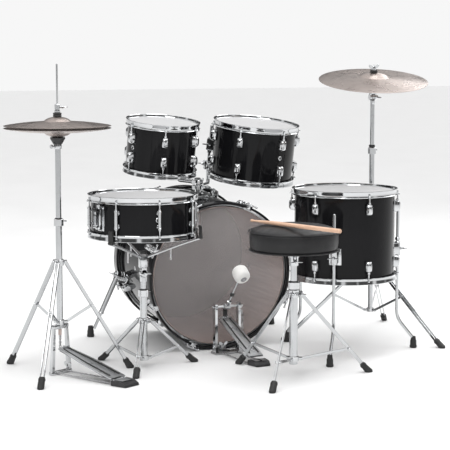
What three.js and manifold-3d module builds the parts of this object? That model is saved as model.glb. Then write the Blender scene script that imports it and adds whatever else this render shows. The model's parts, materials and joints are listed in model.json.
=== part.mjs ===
// Acoustic drum kit: bass drum, two hanging toms, floor tom, snare drum, hi-hat,
// crash cymbal, kick pedal, throne and one stick. Millimetres, +Z up, +Y from the
// drummer to the audience. The origin is at the middle of the footprint, on the floor.
import * as THREE from 'three';
import { mergeVertices } from 'three/addons/utils/BufferGeometryUtils.js';
import Module from 'manifold-3d';

const wasm = await Module();
wasm.setup();

// ---- Driving dimensions -------------------------------------------------------
// Places are measured from the middle of the bass drum's batter head, on the floor.
const GAP = 0.3;                 // between pieces that touch
const PLY = 6;                   // drum shell wall
const SIDES = 20;                // facets round a drum or a cymbal
const PIPE_SIDES = 8;            // facets round a tube or a rod

const BASS = {
  radius: 254, depth: 406, sides: 28, lift: 3.4, lugs: 8, lugFromEdge: 70, rodOut: 23,
  hoopOut: 16, hoopRear: 16, hoopFront: 22,
};
BASS.hoopRadius = BASS.radius + BASS.hoopOut;
BASS.rodRadius = BASS.radius + BASS.rodOut;
const SMALL_TOM = {
  name: 'small_tom', radius: 127, depth: 178, lugs: 6, lugAngle: 16,
  at: [-136, 222], rimTop: 824, lean: 7, side: 2.3, hangAngle: 46,
};
const LARGE_TOM = {
  name: 'large_tom', radius: 152, depth: 203, lugs: 6, lugAngle: -12,
  at: [235, 225], rimTop: 811, lean: 7, side: 3.3, hangAngle: 138,
};
const FLOOR_TOM = {
  name: 'floor_tom', radius: 178, depth: 305, lugs: 6, lugAngle: -28,
  at: [401, -200], rimTop: 594, lean: 0, side: 0,
};
const SNARE = {
  name: 'snare', radius: 178, depth: 127, lugs: 8, lugAngle: -1,
  at: [-350, -190], rimTop: 599, lean: 0, side: 0, strainerAngle: 201.5,
};

// Triple-flanged steel hoop and its head, measured from the shell's edge and radius
const HOOP = { above: 10, below: 12, lip: 10, throat: 2.6, thick: 2, fleshWidth: 5.5 };
const LUG = { width: 24, height: 42, out: 20, fromEdge: 53, rod: 5, rodOut: 9.8 };

const SPUR = {
  reach: 44, out: 29, pivotY: 330, below: 13, spread: 87, foot: 400, boss: 16, thick: 19,
};
const HOLDER = {
  y: 230, radius: 12.5, baseRise: 14.32, baseHeight: 30, ringRise: 10, below: 152, above: 54,
  ringGap: 4,
};
const HANG = { out: 26, rod: 5.5, joint: 26, knuckle: 13, arm: 8, ring: 16 };
const FLOOR_LEG = {
  angles: [-125, -5, 115], out: 27, rod: 5.5, bend: 115, foot: 272, top: 520, bracketZ: 368,
};
const STRAINER = { width: 26, out: 20, lever: 58, leverOut: 26, pivot: 38 };

const LEG_STRIP = { thick: 3, width: 10, inner: 4.6 };   // double-strip stand legs
const EAR = 4;                                           // thickness of a pivot ear

const HIHAT = {
  at: [-646, -193], base: 10.5, upper: 9.2, collarZ: 377, lowZ: 175, clampZ: 512,
  feet: 247, legAngles: [120, 240, 360], pivot: 0.4, collarTall: 22, screwTurn: -60,
  rod: 3, top: 1037, cymbal: 178, cymbalZ: 829, open: 7, seatLow: 772,
};
const CRASH = {
  at: [627, 41], base: 9.5, upper: 8, collarZ: 285, lowZ: 100, clampZ: 704,
  feet: 341, legAngles: [-66, 54, 174], pivot: 0.41, collarTall: 24, screwTurn: 60,
  tilterZ: 904, cymbal: 203, lean: 11, side: -3, bowZ: 62,
};
const SNARE_STAND = {
  base: 12.5, upper: 9.5, collarZ: 160, lowZ: 31, clampZ: 256, feet: 191,
  legAngles: [-116, 4, 124], pivot: 0.62, collarTall: 20, screwTurn: 60,
  tiltZ: 325, hubZ: 378,
};
const THRONE = {
  at: [70, -510], base: 14, upper: 11, collarZ: 278, lowZ: 58, clampZ: 306,
  feet: 266, legAngles: [-128, -8, 112], pivot: 0.7, collarTall: 26, screwTurn: 60, legBar: 5,
  seatRadius: 153, seatLow: 422, seatBand: 76, crown: 12,
};
const CYMBAL = { thick: 1.6, bell: 0.27, bow: 0.075, cup: 15, hole: 7 };

// Pedals: distances from the axle or the rod towards the drummer's heel
const HIHAT_PEDAL = {
  turn: -60, heel: 264, heelZ: 18, toe: 10, toeZ: 86, toeWidth: 42, heelWidth: 74,
  thick: 7, post: 28, foot: 40,
};
const KICK = {
  axleY: -76, axleZ: 170, yaw: 7, post: 47, heel: 213, heelZ: 24, toe: 20, toeZ: 124,
  toeWidth: 52, heelWidth: 60, thick: 7, beaterLean: 39, shaft: 166, beater: 28,
};
const STICK = { tip: [-49, -422], butt: [103, -800], radius: 7 };

// ---- Materials ------------------------------------------------------------------
function finish(color, roughness, metalness) {
  return new THREE.MeshStandardMaterial({ color, roughness, metalness });
}
const LACQUER = () => finish(0x0c0c0d, 0.16, 0);
const CHROME = () => finish(0xd8dadd, 0.16, 1);
const STEEL = () => finish(0xb9bbbe, 0.35, 1);
const BRONZE = () => finish(0x8d7f78, 0.32, 1);
const COATED = () => finish(0xe4e4e2, 0.7, 0);
const CLEAR = () => finish(0xc9c2c0, 0.2, 0);
const BLACK_FILM = () => finish(0x3a3a3c, 0.4, 0);
const VINYL = () => finish(0x1b1b1c, 0.55, 0);
const HICKORY = () => finish(0xd9b98c, 0.5, 0);

// ---- Solids ---------------------------------------------------------------------
const rad = THREE.MathUtils.degToRad;

function solid(geometry) {
  const bare = geometry.index ? geometry.toNonIndexed() : geometry.clone();
  bare.deleteAttribute('normal');
  bare.deleteAttribute('uv');
  const merged = mergeVertices(bare, 1e-4);
  return new wasm.Manifold(new wasm.Mesh({
    numProp: 3,
    vertProperties: new Float32Array(merged.attributes.position.array),
    triVerts: new Uint32Array(merged.index.array),
  }));
}

function geometryOf(body) {
  const mesh = body.getMesh();
  const geometry = new THREE.BufferGeometry();
  geometry.setAttribute('position', new THREE.BufferAttribute(mesh.vertProperties, 3));
  geometry.setIndex(new THREE.BufferAttribute(mesh.triVerts, 1));
  return geometry;
}

function join(...geometries) {
  let body = solid(geometries[0]);
  for (const next of geometries.slice(1)) body = body.add(solid(next));
  return geometryOf(body);
}

function cut(geometry, ...tools) {
  let body = solid(geometry);
  for (const tool of tools) body = body.subtract(solid(tool));
  return geometryOf(body);
}

// A ring or disc turned about Z from [radius, height] points
function turned(points, sides = SIDES) {
  const outline = points.map(([r, z]) => new THREE.Vector2(r, z));
  const geometry = new THREE.LatheGeometry(outline, sides);
  return geometry.rotateX(Math.PI / 2);
}

function ring(inner, outer, low, high, sides = SIDES) {
  return turned([[inner, low], [outer, low], [outer, high], [inner, high], [inner, low]], sides);
}

// An upright cylinder or cone from z = low to z = high
function post(radius, low, high, topRadius = radius, sides = PIPE_SIDES) {
  const geometry = new THREE.CylinderGeometry(topRadius, radius, high - low, sides);
  return geometry.rotateX(Math.PI / 2).translate(0, 0, (low + high) / 2);
}

// A straight round bar between two points
function bar(from, to, radius, sides = PIPE_SIDES) {
  const start = new THREE.Vector3(...from);
  const along = new THREE.Vector3(...to).sub(start);
  const geometry = new THREE.CylinderGeometry(radius, radius, along.length(), sides);
  geometry.rotateX(Math.PI / 2).translate(0, 0, along.length() / 2);
  const turn = new THREE.Quaternion();
  turn.setFromUnitVectors(new THREE.Vector3(0, 0, 1), along.clone().normalize());
  return geometry.applyQuaternion(turn).translate(...from);
}

function block(size, centre) {
  return new THREE.BoxGeometry(...size).translate(...centre);
}

// A plate cut to an outline of [u, v] points in the XZ plane, centred on Y
function plate(points, thick, offset = 0) {
  const shape = new THREE.Shape(points.map(([u, v]) => new THREE.Vector2(u, v)));
  const geometry = new THREE.ExtrudeGeometry(shape, { depth: thick, bevelEnabled: false });
  return geometry.translate(0, 0, -thick / 2).rotateX(Math.PI / 2).translate(0, offset, 0);
}

// A flat bar with square ends, from one [u, v] point to another in the XZ plane
function strip(from, to, width, thick, offset = 0, overrun = 0) {
  const dx = to[0] - from[0];
  const dz = to[1] - from[1];
  const length = Math.hypot(dx, dz) + 2 * overrun;
  const geometry = block([length, thick, width], [length / 2 - overrun, offset, 0]);
  return geometry.rotateY(-Math.atan2(dz, dx)).translate(from[0], 0, from[1]);
}

function spun(geometry, degrees) {
  return geometry.clone().rotateZ(rad(degrees));
}

// ---- Scene graph ----------------------------------------------------------------
const kit = new THREE.Group();

function piece(parent, name, geometry, material) {
  const mesh = new THREE.Mesh(geometry, material);
  mesh.name = name;
  parent.add(mesh);
  return mesh;
}

function placed(parent, x, y, z) {
  const group = new THREE.Group();
  group.position.set(x, y, z);
  parent.add(group);
  return group;
}

// ---- Drums ----------------------------------------------------------------------
// Steel hoop with its ears and tension rods, at the shell edge z = edge
function steelHoop(drum, edge) {
  const r = drum.radius;
  const flesh = r + HOOP.fleshWidth + 0.5;
  const profile = [
    [flesh, edge - HOOP.below], [r + HOOP.lip, edge - HOOP.below],
    [flesh + HOOP.thick, edge - 2],
    [r + HOOP.lip, edge + HOOP.above], [r + HOOP.throat, edge + HOOP.above],
    [r + HOOP.throat, edge - 3.4], [flesh, edge - 3.4], [flesh, edge - HOOP.below],
  ];
  return join(turned(profile), ...tensionRods(drum, edge));
}

// A rod at each lug, from the hoop's flange to the lug's end
function tensionRods(drum, edge) {
  const out = drum.radius + LUG.rodOut;
  const low = edge - LUG.fromEdge + LUG.height / 2 + GAP;
  const high = edge - HOOP.below + 3;
  const parts = [];
  for (let i = 0; i < drum.lugs; i += 1) {
    const angle = drum.lugAngle + (i * 360) / drum.lugs;
    const rod = block([LUG.rod + 2, LUG.rod, high - low], [out, 0, (high + low) / 2]);
    parts.push(spun(rod, angle));
  }
  return parts;
}

// The resonant side: hoop and head as one turned piece, with its rods
function bottomHoop(drum) {
  const edge = drum.depth;
  const r = drum.radius;
  const flesh = r + HOOP.fleshWidth + 0.5;
  const profile = [
    [0, edge + GAP], [r + 0.5, edge + GAP], [r + 0.5, edge - HOOP.below],
    [r + HOOP.lip, edge - HOOP.below], [flesh + HOOP.thick, edge - 2],
    [r + HOOP.lip, edge + HOOP.above], [r + HOOP.throat, edge + HOOP.above],
    [r + HOOP.throat, edge + 1.5], [0, edge + 1.5],
  ];
  return flipped(join(turned(profile), ...tensionRods(drum, edge)), edge);
}

// Drum head: the film, its collar and its flesh hoop
function film(radius, edge, sides = SIDES) {
  const flesh = radius + HOOP.fleshWidth;
  return turned([
    [0, edge + GAP], [radius + 0.5, edge + GAP], [radius + 0.5, edge - 9],
    [flesh, edge - 9], [flesh, edge - 4], [radius + 2, edge - 4],
    [radius + 2, edge + 1.5], [0, edge + 1.5],
  ], sides);
}

// Turns a piece made for the edge z = depth over to the edge z = 0
function flipped(geometry, depth) {
  const mirror = [1, 0, 0, 0, 0, 1, 0, 0, 0, 0, -1, 0, 0, 0, depth, 1];
  return geometryOf(solid(geometry).transform(mirror));
}

function lugBlocks(drum) {
  const blocks = [];
  for (let i = 0; i < drum.lugs; i += 1) {
    const angle = drum.lugAngle + (i * 360) / drum.lugs;
    for (const z of [LUG.fromEdge, drum.depth - LUG.fromEdge]) {
      const lug = block([LUG.out + 4, LUG.width, LUG.height],
        [drum.radius + LUG.out / 2 - 2, 0, z]);
      blocks.push(spun(lug, angle));
    }
  }
  return blocks;
}

// The shell comes in ready; this adds both hoops and both heads
function steelDrum(drum, parent, shell) {
  const { name, depth, radius } = drum;
  piece(parent, `${name}_shell`, shell, LACQUER());
  piece(parent, `${name}_batter_hoop`, steelHoop(drum, depth), CHROME());
  piece(parent, `${name}_batter_head`, film(radius, depth), COATED());
  piece(parent, `${name}_bottom_hoop`, bottomHoop(drum), CHROME());
}

// A frame at the bottom edge of a drum whose top hoop is centred at rimTop, leaning
function drumFrame(parent, drum, [x, y], rimTop) {
  const top = placed(parent, x, y, rimTop);
  top.rotation.set(rad(drum.lean), rad(drum.side), 0);
  return placed(top, 0, 0, -drum.depth - HOOP.above);
}

// ---- Bass drum ------------------------------------------------------------------
const lift = rad(BASS.lift);
const bassZ = BASS.hoopRadius * Math.cos(lift) + BASS.hoopRear * Math.sin(lift);

// The holder's base stands on the top of the shell
const shellTop = bassZ + BASS.radius * Math.cos(lift) + HOLDER.y * Math.tan(lift);
const baseTop = shellTop + HOLDER.baseRise;
const ringLow = baseTop + HOLDER.ringRise;

// Local +Z runs from the batter side to the audience, local +Y points down
const bass = placed(kit, 0, 0, bassZ);
bass.rotation.x = -Math.PI / 2 + lift;
bass.updateMatrixWorld(true);

function intoBass(geometry) {
  return geometry.applyMatrix4(bass.matrixWorld.clone().invert());
}

function bassHoop() {
  const { hoopRadius, hoopRear, hoopFront, depth, lugs } = BASS;
  const inner = BASS.radius + HOOP.fleshWidth + 1.5;
  const parts = [ring(inner, hoopRadius, depth - hoopFront, depth + hoopRear, BASS.sides)];
  const rodEnd = depth - BASS.lugFromEdge + LUG.height / 2 + GAP;
  for (let i = 0; i < lugs; i += 1) {
    const angle = 180 / lugs + (i * 360) / lugs;
    const claw = block([12, 26, hoopRear + 12], [hoopRadius + 3, 0, depth + hoopRear / 2 - 4]);
    const rod = block([6, 6, depth - 8 - rodEnd], [BASS.rodRadius, 0, (depth - 8 + rodEnd) / 2]);
    parts.push(spun(claw, angle), spun(rod, angle));
  }
  return join(...parts);
}

// The folding spur's pivot, foot and axis on one side (-1 left, +1 right)
function spurLine(side) {
  const out = BASS.radius + SPUR.out;
  const height = BASS.radius - SPUR.below;
  const pivot = new THREE.Vector3(side * out, SPUR.pivotY, height);
  const foot = new THREE.Vector3(side * (out + SPUR.spread), SPUR.foot, 0);
  const along = foot.clone().sub(pivot).normalize();
  const outward = new THREE.Vector3(side, 0, -0.18).normalize();
  const axis = outward.addScaledVector(along, -outward.dot(along)).normalize();
  return { pivot, foot, along, axis };
}

function bassShell() {
  const { radius, depth, lugs, sides } = BASS;
  const parts = [ring(radius - PLY, radius, 0, depth, sides)];
  for (let i = 0; i < lugs; i += 1) {
    const angle = 180 / lugs + (i * 360) / lugs;
    for (const z of [BASS.lugFromEdge, depth - BASS.lugFromEdge]) {
      const out = BASS.rodRadius + 7 - radius;
      const lug = block([out + 4, LUG.width, LUG.height], [radius + out / 2 - 2, 0, z]);
      parts.push(spun(lug, angle));
    }
  }
  for (const side of [-1, 1]) {
    const { pivot, axis } = spurLine(side);
    const inside = pivot.clone().addScaledVector(axis, -SPUR.reach);
    const face = pivot.clone().addScaledVector(axis, -SPUR.thick / 2 - GAP);
    parts.push(intoBass(bar(inside.toArray(), face.toArray(), SPUR.boss, 12)));
  }
  const low = baseTop - HOLDER.baseHeight;
  parts.push(intoBass(block([60, 70, HOLDER.baseHeight],
    [0, HOLDER.y, baseTop - HOLDER.baseHeight / 2])));
  const bore = post(HOLDER.radius + 0.6, low - 40, baseTop + 5,
    HOLDER.radius + 0.6, 12);
  return cut(join(...parts), intoBass(bore.translate(0, HOLDER.y, 0)));
}

piece(bass, 'bass_shell', bassShell(), LACQUER());
const frontHoop = bassHoop();
const bassFilm = film(BASS.radius, BASS.depth, BASS.sides);
piece(bass, 'bass_front_hoop', frontHoop, LACQUER());
piece(bass, 'bass_front_head', bassFilm, BLACK_FILM());
piece(bass, 'bass_batter_hoop', flipped(frontHoop, BASS.depth), LACQUER());
piece(bass, 'bass_batter_head', flipped(bassFilm, BASS.depth), CLEAR());

for (const [side, name] of [[-1, 'spur_left'], [1, 'spur_right']]) {
  const { pivot, foot, along, axis } = spurLine(side);
  const group = placed(kit, pivot.x, pivot.y, pivot.z);
  group.name = `joint ${name}`;
  const half = axis.clone().multiplyScalar(SPUR.thick / 2);
  const reach = foot.distanceTo(pivot);
  const middle = along.clone().multiplyScalar(reach * 0.6);
  const inner = along.clone().multiplyScalar(reach * 0.55);
  const heel = along.clone().multiplyScalar(reach - 18);
  const sole = foot.clone().sub(pivot);
  const rubber = post(14, 0, 36, 12, 10).translate(sole.x, sole.y, sole.z);
  piece(group, name, join(
    bar(half.clone().negate().toArray(), half.toArray(), SPUR.boss, 12),
    bar([0, 0, 0], middle.toArray(), 9, 10),
    bar(inner.toArray(), heel.toArray(), 5.5, 10),
    rubber,
  ), CHROME());
}

// ---- Tom holder and hanging toms --------------------------------------------------
const holder = placed(kit, 0, HOLDER.y, 0);
const postLow = baseTop - HOLDER.below;
const postTop = baseTop + HOLDER.above;
piece(holder, 'tom_post', post(HOLDER.radius, postLow, postTop, HOLDER.radius, 12), CHROME());

// Where a tom's hanging rod meets its arm, in the kit's frame
function hangPoint(drum) {
  const frame = drumFrame(kit, drum, drum.at, drum.rimTop);
  frame.parent.updateMatrixWorld(true);
  const out = drum.radius + HANG.out;
  const point = new THREE.Vector3(out, 0, HANG.joint);
  point.applyAxisAngle(new THREE.Vector3(0, 0, 1), rad(drum.hangAngle));
  frame.localToWorld(point);
  kit.remove(frame.parent);
  return point;
}

function hangingTom(drum, low) {
  const joint = hangPoint(drum);
  const { radius, depth, name } = drum;
  const ringMiddle = low + HANG.ring / 2;
  const corner = [joint.x, joint.y - HOLDER.y, ringMiddle];
  const reach = Math.hypot(corner[0], corner[1]);
  const start = [corner[0] * 16 / reach, corner[1] * 16 / reach, ringMiddle];
  const top = joint.z - HANG.knuckle - GAP;
  const sideOf = -Math.sign(drum.at[0]);            // the knuckle's side away from the drum
  const arm = join(
    ring(HOLDER.radius + 0.6, HOLDER.radius + 9, low, low + HANG.ring, 12),
    bar(start, corner, HANG.arm, 8),
    new THREE.SphereGeometry(HANG.arm * 1.05, 8, 6).translate(...corner),
    post(HANG.arm, ringMiddle, top - 5, HANG.arm, 8).translate(corner[0], corner[1], 0),
    block([26, 15, 8], [corner[0] + sideOf * 5, corner[1], top - 6]),
    block([8, 15, HANG.knuckle + 10],
      [corner[0] + sideOf * 14, corner[1], joint.z - HANG.knuckle / 2 - 5]),
    bar([corner[0] + sideOf * 10, corner[1], joint.z],
      [corner[0] + sideOf * 18, corner[1], joint.z], HANG.knuckle, 12),
  );
  piece(holder, `${name}_arm`, arm, CHROME());

  const group = placed(kit, joint.x, joint.y, joint.z);
  group.name = `joint ${name}_tilt`;
  const frame = drumFrame(group, drum,
    [drum.at[0] - joint.x, drum.at[1] - joint.y], drum.rimTop - joint.z);
  const bracket = block([HANG.out + 16, 30, 46], [radius + HANG.out / 2 + 4, 0, depth / 2]);
  const bore = post(HANG.rod + 0.5, 0, depth).translate(radius + HANG.out, 0, 0);
  const shell = cut(join(ring(radius - PLY, radius, 0, depth), ...lugBlocks(drum),
    spun(bracket, drum.hangAngle)), spun(bore, drum.hangAngle));
  steelDrum(drum, frame, shell);

  const rod = post(HANG.rod, HANG.joint, depth - 30);
  rod.translate(radius + HANG.out, 0, 0);
  frame.updateWorldMatrix(true, false);
  const knuckle = bar([joint.x - 6, joint.y, joint.z], [joint.x + 6, joint.y, joint.z],
    HANG.knuckle, 12).applyMatrix4(frame.matrixWorld.clone().invert());
  piece(frame, `${name}_rod`, join(spun(rod, drum.hangAngle), knuckle), CHROME());
}

hangingTom(SMALL_TOM, ringLow + HANG.ring + HOLDER.ringGap);
hangingTom(LARGE_TOM, ringLow);

// ---- Floor tom --------------------------------------------------------------------
function floorTom() {
  const drum = FLOOR_TOM;
  const { radius, depth } = drum;
  const frame = drumFrame(kit, drum, drum.at, drum.rimTop);
  const floor = drum.rimTop - depth - HOOP.above;      // height of the bottom edge
  const out = radius + FLOOR_LEG.out;
  const brackets = [];
  const bores = [];
  for (const angle of FLOOR_LEG.angles) {
    const bracket = block([FLOOR_LEG.out + 14, 34, 48],
      [radius + FLOOR_LEG.out / 2 + 3, 0, FLOOR_LEG.bracketZ - floor]);
    brackets.push(spun(bracket, angle));
    bores.push(spun(post(FLOOR_LEG.rod + 0.5, -60, depth).translate(out, 0, 0), angle));
  }
  const tube = ring(radius - PLY, radius, 0, depth);
  steelDrum(drum, frame, cut(join(tube, ...lugBlocks(drum), ...brackets), ...bores));

  const { rod, bend, foot, top } = FLOOR_LEG;
  FLOOR_LEG.angles.forEach((angle, i) => {
    const group = placed(kit, drum.at[0], drum.at[1], 0);
    group.rotation.z = rad(angle);
    piece(group, `floor_tom_leg_${i + 1}`, join(
      post(rod, bend, top).translate(out, 0, 0),
      new THREE.SphereGeometry(rod * 1.04, 8, 6).translate(out, 0, bend),
      bar([out, 0, bend], [foot, 0, 34], rod),
      post(13, 0, 40, 10, 8).translate(foot, 0, 0),
    ), CHROME());
  });
}
floorTom();

// ---- Tripods ----------------------------------------------------------------------
// Every tripod has a top collar the legs hang from and a low collar for the braces
function tripodShape(stand) {
  const start = stand.base + 11;
  const pivot = stand.feet - start;
  return {
    top: [start, stand.collarZ],
    low: [start, stand.lowZ],
    joint: [start + pivot * stand.pivot, stand.collarZ * (1 - stand.pivot)],
    foot: [stand.feet, 0],
  };
}

// Two strips with a rubber foot and a rivet block below the brace's pivot
function legGeometry(stand) {
  const { top, joint, foot } = tripodShape(stand);
  const dx = (foot[0] - top[0]) / Math.hypot(foot[0] - top[0], top[1]);
  const dz = Math.sqrt(1 - dx * dx);
  const end = [foot[0] - 32 * dx, 32 * dz];
  const offset = LEG_STRIP.inner + LEG_STRIP.thick / 2;
  const along = [end[0] - joint[0], end[1] - joint[1]];
  const tie = [joint[0] + along[0] * 0.3, joint[1] + along[1] * 0.3];
  const rubber = plate([
    [foot[0] - 15, 0], [foot[0] + 12, 0], [foot[0] + 9, 14],
    [end[0] + 3 * dx + 9 * dz, end[1] - 3 * dz + 9 * dx + 4],
    [end[0] - 12 * dx + 10 * dz, end[1] + 12 * dz + 10 * dx],
    [end[0] - 12 * dx - 10 * dz, end[1] + 12 * dz - 10 * dx],
  ], 22);
  if (stand.legBar) return join(rubber, strip(top, end, 12, stand.legBar, 0, 5));
  return join(
    rubber,
    strip(top, end, LEG_STRIP.width, LEG_STRIP.thick, -offset, 3),
    strip(top, end, LEG_STRIP.width, LEG_STRIP.thick, offset, 3),
    strip(tie, [tie[0] + 10 * dx, tie[1] - 10 * dz], LEG_STRIP.width, 2 * offset),
  );
}

function braceGeometry(stand) {
  const { low, joint } = tripodShape(stand);
  return strip(low, joint, 8, EAR, 0, 5);
}

// The sliding collar: a ring, an ear for each leg and a wing screw between two legs
function topCollar(stand) {
  const { top } = tripodShape(stand);
  const inner = stand.base + 0.6;
  const tall = stand.collarTall;
  const parts = [ring(inner, stand.base + 4.5, top[1] - tall / 2, top[1] + tall / 2, PIPE_SIDES)];
  for (const angle of stand.legAngles) {
    const ear = block([14, EAR, 16], [stand.base + 9, 0, top[1]]);
    parts.push(spun(ear, angle));
  }
  return join(...parts, ...wingScrew(stand, top[1]));
}

// The collar's wing screw, between two legs
function wingScrew(stand, z) {
  const angle = stand.legAngles[0] + stand.screwTurn;
  const screw = block([26, 6, 6], [stand.base + 14, 0, z]);
  const wing = block([4, 26, 9], [stand.base + 25, 0, z]);
  return [spun(screw, angle), spun(wing, angle)];
}

// The low collar fixed to the base tube, with a pair of ears for each brace
function lowCollar(stand, legsFixed) {
  const { low } = tripodShape(stand);
  const outer = stand.base + (legsFixed ? 8 : 4);
  const parts = [ring(stand.base - 1, outer, low[1] - 8, low[1] + 8, PIPE_SIDES)];
  if (legsFixed) return parts;
  for (const angle of stand.legAngles) {
    for (const side of [-1, 1]) {
      const ear = block([14, 2.6, 14], [stand.base + 9, side * 4.4, low[1]]);
      parts.push(spun(ear, angle));
    }
  }
  return parts;
}

// A height clamp at the top of a tube, with its wing screw
function clamp(stand, angle) {
  const { base, upper, clampZ } = stand;
  const screw = block([20, 6, 6], [base + 12, 0, clampZ]);
  const wing = block([4, 9, 26], [base + 21, 0, clampZ]);
  return [
    ring(upper + 0.6, base + 6, clampZ - 13, clampZ + 13, PIPE_SIDES),
    spun(screw, angle), spun(wing, angle),
  ];
}

// A stand's fixed base: tube, low collar, clamp, and the spread legs where they stay put
function standBase(stand, lowEnd, clampAngle, legsFixed) {
  const parts = [
    ring(stand.upper + 0.6, stand.base, lowEnd, stand.clampZ, PIPE_SIDES),
    ...lowCollar(stand, legsFixed), ...clamp(stand, clampAngle),
  ];
  if (legsFixed) {
    const { top, low, joint } = tripodShape(stand);
    const tall = stand.collarTall / 2;
    parts.push(ring(stand.base - 1, top[0] + 3, top[1] - tall, top[1] + tall, PIPE_SIDES));
    parts.push(...wingScrew(stand, top[1]));
    for (const angle of stand.legAngles) {
      parts.push(spun(legGeometry(stand), angle));
      parts.push(spun(strip(low, joint, 8, 2 * LEG_STRIP.inner + 1, 0, 3), angle));
    }
  }
  return parts;
}

// ---- Snare drum and its stand -----------------------------------------------------
const snareTilt = placed(kit, SNARE.at[0], SNARE.at[1], SNARE_STAND.tiltZ);
snareTilt.name = 'joint snare_basket_tilt';

function snareShell() {
  const { radius, depth, lugs, lugAngle, strainerAngle } = SNARE;
  const tubeEnd = LUG.fromEdge - LUG.height / 2;
  const parts = [ring(radius - PLY, radius, 0, depth)];
  for (let i = 0; i < lugs; i += 1) {
    const angle = lugAngle + (i * 360) / lugs;
    const tube = block([12, 12, depth - 2 * tubeEnd], [radius + LUG.rodOut + 2, 0, depth / 2]);
    parts.push(spun(tube, angle));
    for (const z of [tubeEnd + 8, depth - tubeEnd - 8]) {
      parts.push(spun(block([16, 10, 10], [radius + 4, 0, z]), angle));
    }
  }
  const body = block([STRAINER.out + 4, STRAINER.width, 78],
    [radius + STRAINER.out / 2 - 2, 0, depth / 2]);
  const butt = block([14, 30, 34], [radius + 3, 0, depth / 2 - 12]);
  parts.push(spun(body, strainerAngle), spun(butt, strainerAngle - 180));
  return join(...parts);
}

function snareDrum() {
  const frame = drumFrame(snareTilt, SNARE, [0, 0], SNARE.rimTop - SNARE_STAND.tiltZ);
  steelDrum(SNARE, frame, snareShell());
  const turn = placed(frame, 0, 0, 0);
  turn.rotation.z = rad(SNARE.strainerAngle);
  const hinge = placed(turn, SNARE.radius + STRAINER.leverOut, 0, STRAINER.pivot);
  hinge.name = 'joint snare_strainer';
  piece(hinge, 'snare_strainer_lever', join(
    bar([0, -9, 0], [0, 9, 0], 5, 8),
    block([5, 14, STRAINER.lever], [0, 0, STRAINER.lever / 2]),
    block([12, 18, 10], [4, 0, STRAINER.lever]),
  ), CHROME());
}
snareDrum();

function snareStand() {
  const stand = SNARE_STAND;
  const [x, y] = SNARE.at;
  const base = placed(kit, x, y, 0);
  piece(base, 'snare_stand_base', join(...standBase(stand, 22, 60, true)), CHROME());
  piece(base, 'snare_stand_upper_tube', join(
    post(stand.upper, stand.clampZ - 110, stand.tiltZ - 14),
    block([22, 12, 26], [0, 0, stand.tiltZ - 16]),
    bar([0, -6, stand.tiltZ], [0, 6, stand.tiltZ], 12, 12),
  ), CHROME());

  const hub = stand.hubZ - stand.tiltZ;
  const bottom = SNARE.rimTop - SNARE.depth - 2 * HOOP.above - stand.tiltZ;
  const rim = SNARE.radius + HOOP.lip;
  const parts = [
    bar([0, 6 + GAP, 0], [0, 12, 0], 12, 12), bar([0, -12, 0], [0, -6 - GAP, 0], 12, 12),
    block([16, 5.7, hub + 8], [0, 9.2, hub / 2 + 4]),
    block([16, 5.7, hub + 8], [0, -9.2, hub / 2 + 4]),
    post(16, 20, hub + 14, 16, 12),
  ];
  for (const angle of [-21, 99, 219]) {
    const arm = bar([8, 0, hub], [rim * 0.72, 0, bottom - 26], 5, 6);
    const rise = bar([rim * 0.72 - 3, 0, bottom - 26], [rim + 8, 0, bottom - 6], 5, 6);
    const sole = block([26, 18, 8], [rim + 3, 0, bottom - GAP - 4]);
    const grip = block([11, 18, 44], [rim + 7.5, 0, bottom + 14]);
    parts.push(...[arm, rise, sole, grip].map((part) => spun(part, angle)));
  }
  piece(snareTilt, 'snare_stand_basket', join(...parts), CHROME());
}
snareStand();

// ---- Cymbals ----------------------------------------------------------------------
// A cymbal with its edge at z = 0 and its bell upwards
function cymbalGeometry(radius) {
  const { thick, bell, bow, cup, hole } = CYMBAL;
  const rise = radius * bow;
  const shoulder = radius * bell;
  const curve = [
    [radius, 0], [radius * 0.6, rise * 0.68], [shoulder, rise],
    [shoulder * 0.7, rise + cup * 0.8], [hole, rise + cup],
  ];
  const under = [...curve].reverse();
  const over = curve.map(([r, z]) => [r, z + thick]);
  return turned([...under, ...over, under[0]]);
}

function bellTop(radius) {
  return radius * CYMBAL.bow + CYMBAL.cup + CYMBAL.thick;
}

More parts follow.
